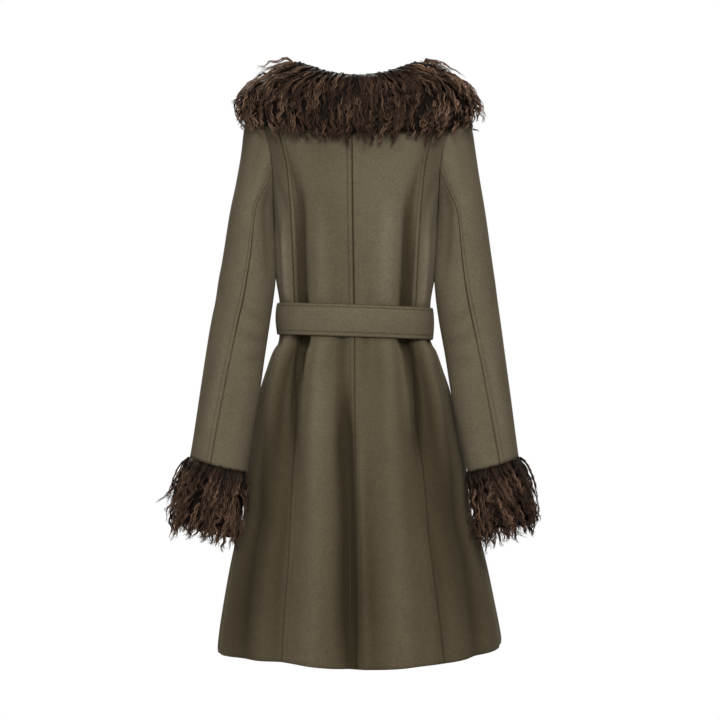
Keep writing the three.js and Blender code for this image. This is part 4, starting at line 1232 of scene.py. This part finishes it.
def fur_strands(name, hide, fur, depth, ends, seed, parts=1):
    """Long shaggy fur: joined three-sided strands, thin toward their tips, gathered in wavy locks.

    A lock has a root on the hide, a length, a layer and a wave, which all its strands share; they
    start side by side and draw together to one pointed tip. A strand runs down the hide by its
    length, aside by its lean, its flare and its wave, and out by the fur's depth there times its
    layer. Wisps stand further off. Every fifth lock starts at the upper edge. depth(a, down) gives
    the fur's depth and ends(a) how far down it hangs. Returns the pieces, as many as parts."""
    random = np.random.default_rng(seed)
    count, each = fur["locks"], fur["strands"]

    def lock(low, high):
        return np.repeat(lerp(low, high, random.random(count)), each)

    def own(low, high):
        return lerp(low, high, random.random(count * each))

    run_of_a = hide.run[:, len(hide.b) // 3]
    first, last = np.interp(fur["roots"], hide.a, run_of_a)
    order = (np.arange(count) + random.random(count)) / count
    root_a = np.repeat(np.interp(lerp(first, last, order), run_of_a, hide.a), each)
    rim = np.repeat(np.arange(count) % 5 == 0, each)
    root_b = np.repeat(0.86 * ((np.arange(count) * 0.618034 + 0.05 * random.random(count)) % 1), each)
    root_b = np.where(rim, lock(-0.012, 0.02), root_b)
    metres_a = np.interp(root_a, hide.a, np.gradient(run_of_a, hide.a))[:, None]
    metres_b = hide.read(hide.fall, root_a, root_a * 0 + 1.0) + 1e-6

    past = lock(*fur["past"]) + own(-0.002, 0.002)
    longest = (ends(root_a) - root_b) * metres_b + past
    long = lock(*fur["long"]) * own(0.90, 1.06)
    long = np.clip(long, STRAND["least"], np.maximum(longest, STRAND["least"] + 0.002))[:, None]
    wisp = (lock(0, 1) < fur["wisps"])[:, None]

    t = np.linspace(0, 1, STRAND["steps"] + 1)[None, :] ** 0.92
    run = long * t
    swing = run / (lock(*fur["wave"]) * own(0.95, 1.05))[:, None]
    swing = 2 * np.pi * (swing + 0.1 * swing**1.4 + (lock(0, 1) + own(-0.09, 0.09))[:, None])
    curl = fur["curl"] * (lock(0.5, 1.5) * own(0.6, 1.4))[:, None] * smoothstep(run, 0, 0.014)
    curl = curl * (0.6 + 0.8 * t) * (1 + 0.8 * wisp)
    lean = lock(-1, 1)[:, None] * fur["lean"] * (1 + wisp) + own(-0.05, 0.05)[:, None]
    lean = lean - fur["flare"] * np.sin(np.radians(root_a))[:, None]
    closing = 1 - STRAND["closing"] * smoothstep(t, 0.10, 1.0)
    aside = fur["gather"] * (lock(0.5, 1.6) * own(-1, 1))[:, None] * closing
    aside = aside + lean * run + curl * np.sin(swing)
    a = root_a[:, None] + aside / metres_a
    down = (root_b + 0.2 * fur["gather"] * own(-1, 1) / metres_b)[:, None] + run * 0.97 / metres_b[:, None]
    layer = np.clip(lock(*fur["layers"])[:, None] + own(-0.10, 0.10)[:, None] * closing, 0.12, 1.1)
    rise = np.where(rim, 0.010, fur["rise"])[:, None]
    out = depth(a, np.clip(down, 0, 1.15)) * layer * smoothstep(run, -0.004, rise)
    out = out + 0.6 * curl * np.cos(swing) + 0.0006 + lock(0, 0.006)[:, None] * t**2.5
    out = out + wisp * (lock(0.08, 0.34) + own(-0.03, 0.03))[:, None] * run * t
    path = hide.place(a, down, np.maximum(out, 0.0004))

    thick = fur["thick"] * own(0.70, 1.30)[:, None] * (1 - STRAND["thin"] * t**1.8)
    points = strand_rings(path, hide.read(hide.normals, a, down), thick)
    tone = 0.35 * lock(0, 1) + 0.65 * own(0, 1)
    # Painted light: the collar's strands are painted lighter toward the shoulders.
    tone = tone**1.3 * lerp(*fur["gain"], smoothstep(np.abs(root_a), 0.08, 0.34))
    shade = np.clip(tone[:, None] * (0.35 + 0.75 * smoothstep(t, 0, 0.6)), 0, 1)

    shares = [slice(i * count * each // parts, (i + 1) * count * each // parts) for i in range(parts)]
    names = [name if parts == 1 else f"{name}_{i + 1}" for i in range(parts)]
    return [strands_piece(piece, points[i], shade[i]) for piece, i in zip(names, shares)]


def strand_rings(path, normal, thick):
    """Rings of three points round each strand's path, wider along the hide than off it."""
    ahead = unit(np.gradient(path, axis=1))
    side = unit(np.cross(ahead, normal))
    up = np.cross(side, ahead)
    turn = 2 * np.pi * (np.arange(3) / 3 + 0.08)
    wide, high = STRAND["flat"] * np.cos(turn)[:, None], np.sin(turn)[:, None]
    ring = side[:, :, None] * wide + up[:, :, None] * high
    return path[:, :, None] + ring * thick[..., None, None]


def strands_piece(name, points, shade):
    """Piece of joined strands from their rings of three points; shade is one number a ring."""
    i, steps = np.arange(3), np.arange(STRAND["steps"])[:, None]
    near, beside = steps * 3 + i, steps * 3 + (i + 1) % 3
    sides = [np.stack([near, beside, beside + 3], -1), np.stack([near, beside + 3, near + 3], -1)]
    last = STRAND["steps"] * 3
    caps = np.array([[2, 1, 0], [last, last + 1, last + 2]])
    faces = np.concatenate([*(part.reshape(-1, 3) for part in sides), caps])
    every = faces[None] + np.arange(len(points))[:, None, None] * 3 * (STRAND["steps"] + 1)
    made = new_object(name, points, every.reshape(-1, 3))
    add_shade(made, np.repeat(shade.ravel(), 3))
    return made


def add_shade(made, shade):
    """Gives each point of a piece of fur its share between dark and light."""
    attribute = made.data.attributes.new("shade", "FLOAT", "POINT")
    attribute.data.foreach_set("value", shade.astype(np.float32))


# ---- fur hides -----------------------------------------------------------------------------------


def collar_depth(round_it, down):
    """Depth of the collar's fur: by its place down the collar, thinner toward both front ends and
    standing up at the shoulders."""
    narrow = 1 - COLLAR["narrow"] * smoothstep(np.abs(round_it), 0.7, 1)
    crest = bell((np.abs(round_it) - COLLAR["crest_at"]) / COLLAR["crest_spread"])
    crest = crest * (1 - smoothstep(down, 0.15, 0.6))
    return np.maximum(collar_fur(down), 0.006) * narrow * (1 + COLLAR["crest"] * crest)


def collar_ends(round_it):
    """How far down the collar's fur hangs, in shares of its width: an uneven edge."""
    return 1 + COLLAR["jag"] * uneven((round_it + 1) / 2) / COLLAR["width"]


def cuff_depth(turn, down):
    """Depth of a cuff's fur: by its place down the cuff, fuller on the outside of the arm."""
    fuller = 1 + CUFF["lean"] * np.cos(np.radians(turn))
    return np.maximum(cuff_fur(down), 0.008) * fuller


def cuff_ends(turn):
    """How far down a cuff's fur hangs, in shares of its length: an uneven edge."""
    return 1 + CUFF["jag"] * uneven(turn / 360) / CUFF["length"]


UNDERFUR = {"share": 0.34, "ridge": 0.0007, "least": 0.0016}


def fur_base(name, skin, depth, ends, a, b, outward, steps, thick, round_it):
    """Hide under the strands: a wall whose outer side is the short underfur, ridged like locks.

    It lies out from the skin by a share of the fur's depth, ridges of two waves that wander down
    the hide, and a least thickness. Returns the object and its cut."""
    a, b = np.meshgrid(a, b)
    down = b * ends(a)
    normal = outward * normals_of(skin, a, down, *steps)
    flat = skin(a, down)
    along = lengths(flat, 1)
    ridges = np.sin(along / 0.0021 + 3 * np.sin(b * 9 + along / 0.04))
    ridges = ridges + 0.6 * np.sin(along / 0.0034 + 14 * b)
    under = depth(a, b) * UNDERFUR["share"] * smoothstep(b, -0.02, 0.12)
    under = under + UNDERFUR["ridge"] * ridges * smoothstep(b, 0, 0.2) + UNDERFUR["least"]
    outer, inner = flat + normal * under[..., None], flat - normal * thick
    made = wall(name, outer, inner, round_it)
    # Near black and lighter on the ridges: partly the underfur's own dark colour, partly painted shade for the depth
    # of the fur.
    shade = np.clip(0.10 + 0.10 * ridges, 0, 1).ravel()
    add_shade(made, np.concatenate([shade, shade * 0 + 0.05]))
    across = float(lengths(flat, 1)[:, -1].max())
    fall = lengths(flat, 0)[-1]
    return made, {"flat": (across, float(fall.max())), "area": area_of(flat)}


# ---- materials -----------------------------------------------------------------------------------


class Nodes:
    """A node tree being built: add() places a node with its inputs set, and links outputs to inputs."""

    def __init__(self, tree):
        self.tree = tree

    def add(self, kind, inputs=None, **settings):
        """New node of a kind, with its settings and its inputs: each a value or another's output."""
        node = self.tree.nodes.new(kind)
        for name, value in settings.items():
            setattr(node, name, value)
        for name, value in (inputs or {}).items():
            if isinstance(value, bpy.types.NodeSocket):
                self.tree.links.new(value, node.inputs[name])
            else:
                node.inputs[name].default_value = value
        return node

    def math(self, operation, first, second):
        """Result of a sum of two values."""
        return self.add("ShaderNodeMath", {0: first, 1: second}, operation=operation).outputs[0]

    def mix(self, share, first, second, blend="MIX"):
        """Mix of two colours by a share."""
        node = self.add("ShaderNodeMix", data_type="RGBA", blend_type=blend)
        for place, value in ((0, share), (6, first), (7, second)):
            if isinstance(value, bpy.types.NodeSocket):
                self.tree.links.new(value, node.inputs[place])
            else:
                node.inputs[place].default_value = value
        return node.outputs[2]


def group(name, inputs, outputs):
    """New node group with named inputs (name: socket kind and value) and outputs (name: kind)."""
    tree = bpy.data.node_groups.new(name, "ShaderNodeTree")
    for socket, (kind, value) in inputs.items():
        made = tree.interface.new_socket(socket, in_out="INPUT", socket_type=kind)
        made.default_value = value
    for socket, kind in outputs.items():
        tree.interface.new_socket(socket, in_out="OUTPUT", socket_type=kind)
    return tree


def colour(red, green, blue):
    """Colour from eight-bit screen values, as the linear values that shaders take."""
    screen = np.array([red, green, blue]) / 255
    linear = np.where(screen <= 0.04045, screen / 12.92, ((screen + 0.055) / 1.055) ** 2.4)
    return (*linear.tolist(), 1.0)


def make_nap():
    """Brushed nap: broad mottling, brushed patches and fine fibres, as a tone round 0.5 and a height."""
    kinds = {
        "Vector": ("NodeSocketVector", (0, 0, 0)),
        "Mottle": ("NodeSocketFloat", 0.3),
        "Fibre": ("NodeSocketFloat", 0.4),
    }
    tree = group("nap", kinds, {"Tone": "NodeSocketFloat", "Height": "NodeSocketFloat"})
    nodes = Nodes(tree)
    given = nodes.add("NodeGroupInput").outputs
    stretched = {"Vector": given["Vector"], "Scale": (0.62, 0.62, 1.0)}
    flat_wise = nodes.add("ShaderNodeMapping", stretched).outputs[0]

    def noise(place, scale, detail, rough, bent=0.0):
        """Noise of a scale at a place."""
        values = {"Vector": place, "Scale": scale, "Detail": detail, "Roughness": rough}
        return nodes.add("ShaderNodeTexNoise", {**values, "Distortion": bent}).outputs[0]

    broad = noise(given["Vector"], 13.0, 4.0, 0.6)
    brushed = noise(flat_wise, 90.0, 3.0, 0.6, 0.8)
    streaks = noise(flat_wise, 400.0, 3.0, 0.8)
    fine = noise(given["Vector"], 900.0, 2.0, 0.7)
    patches = nodes.math("ADD", nodes.math("MULTIPLY", broad, 0.55), nodes.math("MULTIPLY", brushed, 0.45))
    fibres = nodes.math("ADD", nodes.math("MULTIPLY", streaks, 0.72), nodes.math("MULTIPLY", fine, 0.28))
    low = nodes.math("MULTIPLY", nodes.math("SUBTRACT", patches, 0.5), given["Mottle"])
    quick = nodes.math("MULTIPLY", nodes.math("SUBTRACT", fibres, 0.5), given["Fibre"])
    tone = nodes.math("ADD", nodes.math("ADD", low, quick), 0.5)
    height = nodes.math("ADD", nodes.math("MULTIPLY", fibres, 0.7), nodes.math("MULTIPLY", brushed, 0.3))
    nodes.add("NodeGroupOutput", {"Tone": tone, "Height": height})
    return tree


def make_shade_painter():
    """Painted shade and light: darkens a colour in seams and in crease troughs as painted shade, lightens it on
    ridges, and lightens or darkens it by the broad painted patches.

    The darker the painted shade gets, the warmer it is."""
    kinds = {
        "Color": ("NodeSocketColor", (1, 1, 1, 1)),
        "Seam": ("NodeSocketFloat", 0.0),
        "Brushed": ("NodeSocketFloat", 0.0),
        "Crease": ("NodeSocketFloat", 0.0),
        "Seam Shade": ("NodeSocketFloat", 0.5),
        "Wear": ("NodeSocketFloat", 0.2),
    }
    tree = group("worked edges", kinds, {"Color": "NodeSocketColor"})
    nodes = Nodes(tree)
    given = nodes.add("NodeGroupInput").outputs
    dark = nodes.math("SUBTRACT", 1.0, nodes.math("MULTIPLY", given["Seam"], given["Seam Shade"]))
    # Painted shade in crease troughs, lighter on ridges.
    painted_shade = nodes.math("ADD", 1.0, nodes.math("MULTIPLY", given["Crease"], given["Wear"]))
    # brushed here is the painted light and painted shade of the broad patches.
    brushed = nodes.math("ADD", 1.0, given["Brushed"])
    factor = nodes.math("MULTIPLY", nodes.math("MULTIPLY", dark, painted_shade), brushed)
    factor = nodes.math("MAXIMUM", factor, 0.05)
    warm = nodes.math("POWER", factor, 1.06), nodes.math("POWER", factor, 1.28)
    tint = nodes.add("ShaderNodeCombineColor", {0: factor, 1: warm[0], 2: warm[1]}).outputs[0]
    nodes.add("NodeGroupOutput", {"Color": nodes.mix(1.0, given["Color"], tint, "MULTIPLY")})
    return tree


nap, shade_painter = make_nap(), make_shade_painter()


def new_material(name, finish):
    """New material: itself, its nodes, its shader with the finish's values set, and the place on the
    piece that its patterns follow."""
    material = bpy.data.materials.new(name)
    material.use_nodes = True
    shader = material.node_tree.nodes["Principled BSDF"]
    for socket, value in finish.items():
        shader.inputs[socket].default_value = value
    nodes = Nodes(material.node_tree)
    return material, nodes, shader, nodes.add("ShaderNodeTexCoord").outputs["Object"]


def make_suede(name, dark, light):
    """Brushed suede: two tones mixed by the nap, with painted shade in seams and crease troughs, painted
    light and shade in broad patches, and a soft sheen.
    """
    finish = {"Roughness": 0.95, "Specular IOR Level": 0.15}
    finish |= {"Sheen Weight": 0.35, "Sheen Roughness": 0.5, "Sheen Tint": light}
    material, nodes, shader, place = new_material(name, finish)
    pile = {"Vector": place, "Mottle": 0.8, "Fibre": 2.3}
    texture = nodes.add("ShaderNodeGroup", pile, node_tree=nap)
    # Seam shade, crease tone and the painted light and shade (the attribute named brushed), read from each point.
    shares = {
        socket: nodes.add("ShaderNodeAttribute", attribute_name=attribute).outputs["Fac"]
        for socket, attribute in (("Seam", "seam"), ("Crease", "crease"), ("Brushed", "brushed"))
    }
    painted_shade = {"Color": nodes.mix(texture.outputs["Tone"], dark, light), "Seam Shade": 0.74, "Wear": 0.42}
    edges = nodes.add("ShaderNodeGroup", painted_shade | shares, node_tree=shade_painter)
    relief = {"Height": texture.outputs["Height"], "Strength": 0.35, "Distance": 0.0007}
    bump = nodes.add("ShaderNodeBump", relief)
    nodes.tree.links.new(edges.outputs["Color"], shader.inputs["Base Color"])
    nodes.tree.links.new(bump.outputs["Normal"], shader.inputs["Normal"])
    return material


def make_fur(name, dark, middle_tone, light, gloss):
    """Curly fur: tone by each strand's shade, varied a little over the hide."""
    material, nodes, shader, place = new_material(name, {"Roughness": 0.55, "Specular IOR Level": gloss})
    shade = nodes.add("ShaderNodeAttribute", attribute_name="shade").outputs["Fac"]
    patches = nodes.add("ShaderNodeTexNoise", {"Vector": place, "Scale": 60.0, "Detail": 3.0}).outputs[0]
    varied = nodes.math("MULTIPLY", nodes.math("SUBTRACT", patches, 0.5), 0.35)
    ramp = nodes.add("ShaderNodeValToRGB", {"Fac": nodes.math("ADD", shade, varied)})
    stops = ramp.color_ramp.elements
    stops[0].color, stops[1].color = dark, light
    stops.new(0.5).color = middle_tone
    nodes.tree.links.new(ramp.outputs[0], shader.inputs["Base Color"])
    return material


def make_thread(name, tone):
    """Sewing thread: a twist of fine stripes along each stitch."""
    material, nodes, shader, place = new_material(name, {"Roughness": 0.6})
    stripes = {"Vector": place, "Scale": 900.0, "Distortion": 3.0}
    twist = nodes.add("ShaderNodeTexWave", stripes).outputs["Color"]
    dark = tuple(part * 0.6 for part in tone[:3]) + (1.0,)
    nodes.tree.links.new(nodes.mix(twist, tone, dark), shader.inputs["Base Color"])
    return material


suede = make_suede("brushed_suede", colour(80, 72, 57), colour(107, 97, 78))
thread = make_thread("olive_thread", colour(96, 86, 68))
fur_brown = make_fur("shaggy_fur", colour(18, 12, 8), colour(68, 49, 37), colour(146, 114, 91), 0.14)
# The underfur's dark tones are partly its own colour, partly painted shade for the depth under the locks.
hide_brown = make_fur("underfur", colour(14, 10, 8), colour(29, 21, 16), colour(48, 35, 28), 0.05)


# ---- the coat ------------------------------------------------------------------------------------


SLEEVE_GAP = -0.08  # short of a sleeve seam, in degrees; below zero: past it
SLEEVE_SHARES = np.linspace(-0.0045, 1, 88)
CUFF_AROUND, CUFF_DOWN = np.linspace(-180, 180, 121)[:-1], np.linspace(0, 0.86, 22)
COLLAR_ROUND, COLLAR_DOWN = np.linspace(-1, 1, 241), np.linspace(0, 0.92, 16)
CUFF_STEPS, COLLAR_STEPS = (0.5, 0.004), (0.002, 0.01)  # between which the hides' normals are read


def finish_piece(piece, material, slot):
    """Gives a piece its material, its body and its slot."""
    piece.data.materials.append(material)
    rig.ride(piece, "root")
    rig.slot(piece, slot)


def finish_cloth(piece, cut, node, rests_on=(), extras=()):
    """Declares a piece of cloth by its cut, in place of its solid, with the stitching on it."""
    finish_piece(piece, suede, "suede")
    for extra in extras:
        finish_piece(extra, thread, "suede")
    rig.replaces(piece, node)
    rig.sheet(piece, held="hung", rests_on=rests_on, with_pieces=extras, **cut)


def finish_fur(base, cut, node, strands, held, rests_on=()):
    """Declares a hide by its cut, in place of its solid, with the strands on it."""
    finish_piece(base, hide_brown, "fur")
    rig.replaces(base, node)
    for piece in strands:
        finish_piece(piece, fur_brown, "fur")
    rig.sheet(base, held=held, rests_on=rests_on, with_pieces=strands, **cut)


def seam_stitches(name, grid, ends):
    """Rows of topstitching beside the seams at the ends named, as one piece."""
    lines = [stitch_line(grid, STITCH["aside"], from_last=end == "last") for end in ends]
    return [stitches(f"{name}_stitches", lines)] if lines else []


def make_panel(node, skin, normals, edges, steps, creases_at, nap_at, stitched, lift=None):
    """A panel in place of its solid: cloth between two edges of a skin, and its topstitching."""
    name = f"{node}_panel"
    made, cut, grid = cloth(name, skin, normals, *edges, steps, creases_at, nap_at, stitched, lift)
    finish_cloth(made, cut, node, extras=seam_stitches(name, grid, stitched))


def make_body(side, hand):
    """Back centre, back side and front of one half. The left half has the stitches beside the
    centre seam, and the right front lies over the left one."""
    sewn = ("first", "last") if side > 0 else ("last",)
    for part, edges, steps, stitched, lift in (
        ("back_centre", (centre_edge(side), princess_edge(side, -1)), 26, sewn, None),
        ("back_side", (princess_edge(side, 1), side_edge(side, 1)), 22, (), None),
        ("front", (side_edge(side, -1), front_edge(side)), 28, ("last",), None if side > 0 else lap_lift),
    ):
        reliefs = body_creases, body_painted_shading, stitched, lift
        make_panel(f"{part}_{hand}", body_skin, body_normals, edges, steps, *reliefs)


def make_sleeve(side, hand):
    """Upper and under sleeve, between the front seam and the back seam."""

    def skin(turn, share):
        return sleeve_skin(side, sleeve_turn(turn, share), share) * np.array([side, 1, 1])

    def normals(turn, share):
        return -side * normals_of(skin, turn, share, *SKIN_STEPS)

    shares = SLEEVE_SHARES
    front, back = SLEEVE_SEAM["front"], SLEEVE_SEAM["back"]
    for part, start, end, steps, stitched in (
        ("upper", front, back, 34, ("last",)),
        ("under", back, front + 360, 20, ()),
    ):
        edges = [(np.full_like(shares, at), shares) for at in (start + SLEEVE_GAP, end - SLEEVE_GAP)]
        reliefs = sleeve_creases(side), sleeve_painted_light, stitched
        make_panel(f"sleeve_{part}_{hand}", skin, normals, edges, steps, *reliefs)


def make_cuff(side, hand):
    """Fur cuff: a ring of hide and its locks."""
    skin, name = cuff_skin(side), f"fur_cuff_{hand}"
    fur = cuff_depth, cuff_ends
    base, cut = fur_base(f"{name}_hide", skin, *fur, CUFF_AROUND, CUFF_DOWN, -side, CUFF_STEPS, CLOTH, True)
    hide = Hide(skin, (-230, 230), (-0.02, 1.3), -side, CUFF_STEPS)
    strands = fur_strands(f"{name}_locks", hide, CUFF_FUR, *fur, seed=20 + side)
    finish_fur(base, cut, name, strands, "hung")


def make_collar():
    """Fur collar: a strip of hide from front to front round the neck, and its locks."""
    fur = collar_depth, collar_ends
    base, cut = fur_base(
        "fur_collar_hide", collar_skin, *fur, COLLAR_ROUND, COLLAR_DOWN, 1, COLLAR_STEPS, 0, False
    )
    hide = Hide(collar_skin, (-1, 1), (-0.02, 1.35), 1, COLLAR_STEPS)
    strands = fur_strands("fur_collar_locks", hide, COLLAR_FUR, *fur, seed=7, parts=3)
    finish_fur(base, cut, "fur_collar", strands, "draped", ["back_centre_left", "back_centre_right"])


for side, hand in ((1, "left"), (-1, "right")):
    make_body(side, hand)
    make_sleeve(side, hand)
    make_cuff(side, hand)
    tail, cut, sewn = make_tail(side, f"belt_tail_{hand}_strap")
    finish_cloth(tail, cut, f"belt_tail_{hand}", rests_on=["belt_knot"], extras=[sewn])
make_collar()

belt, cut, sewn = make_belt()
finish_cloth(belt, cut, "belt", extras=[sewn])
knot = make_knot()
finish_piece(knot, suede, "suede")
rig.replaces(knot, "belt_knot")
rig.padded(knot, fill=0.7)


# ---- camera, light and floor ---------------------------------------------------------------------

CAMERA = {"place": (-0.005, 4.0, -0.479), "target": (-0.005, 0, -0.479), "lens": 117.6}
LIGHTS = {  # place, target, width and power: a pair behind the coat, one above and a pair before it
    "key": ((-0.45, 2.5, 1.1), (0, 0, -0.30), 1.3, 62),
    "fill": ((1.3, 3.5, 0.1), (0, 0, -0.5), 2.0, 30),
    "top": ((0, 0.9, 2.3), (0, 0, -0.2), 1.6, 22),
    "front_key": ((0.6, -2.5, 1.1), (0, 0, -0.30), 1.3, 62),
    "front_fill": ((-1.4, -3.4, 0.1), (0, 0, -0.5), 2.0, 26),
}
FLOOR = {"height": -1.30, "radius": 1.2, "corners": 96, "colour": (0.85, 0.85, 0.84, 1)}
WORLD = {"seen": 1.0, "glow": 0.20}  # strength of the white that shows and of the white that lights


def make_floor():
    """Plain pale disc below the hem."""
    turn = np.linspace(0, 2 * np.pi, FLOOR["corners"] + 1)[:-1]
    rim = points_of(FLOOR["radius"] * np.cos(turn), FLOOR["radius"] * np.sin(turn), FLOOR["height"])
    mesh = bpy.data.meshes.new("floor")
    mesh.from_pydata(rim.tolist(), [], [list(range(len(rim)))])
    pale = bpy.data.materials.new("pale_floor")
    pale.use_nodes = True
    pale.node_tree.nodes["Principled BSDF"].inputs["Base Color"].default_value = FLOOR["colour"]
    mesh.materials.append(pale)
    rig.stage(add_object("floor", mesh))


def make_world():
    """White round the coat, which lights it less than it shows."""
    world = bpy.data.worlds.new("studio")
    bpy.context.scene.world = world
    world.use_nodes = True
    sky = Nodes(world.node_tree)
    shown, glow = (
        sky.add("ShaderNodeBackground", {"Color": (1, 1, 1, 1), "Strength": WORLD[kind]}).outputs[0]
        for kind in ("seen", "glow")
    )
    seen = sky.add("ShaderNodeLightPath").outputs["Is Camera Ray"]
    both = sky.add("ShaderNodeMixShader", {0: seen, 1: glow, 2: shown})
    out = next(node for node in world.node_tree.nodes if node.type == "OUTPUT_WORLD")
    world.node_tree.links.new(both.outputs[0], out.inputs["Surface"])


lens = bpy.data.cameras.new("camera")
lens.lens = CAMERA["lens"]
bpy.context.scene.camera = add_object("camera", lens, CAMERA["place"], CAMERA["target"])
for name, (place, target, size, power) in LIGHTS.items():
    light = bpy.data.lights.new(name, "AREA")
    light.shape, light.size, light.energy = "DISK", size, power
    add_object(name, light, place, target)
make_floor()
make_world()
bpy.context.scene.view_settings.view_transform = "Standard"

visual_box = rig.bounds()
with open("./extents.json", "w") as sizes:
    json.dump({"cad": [list(c) for c in cad_box], "visual": [list(c) for c in visual_box]}, sizes)
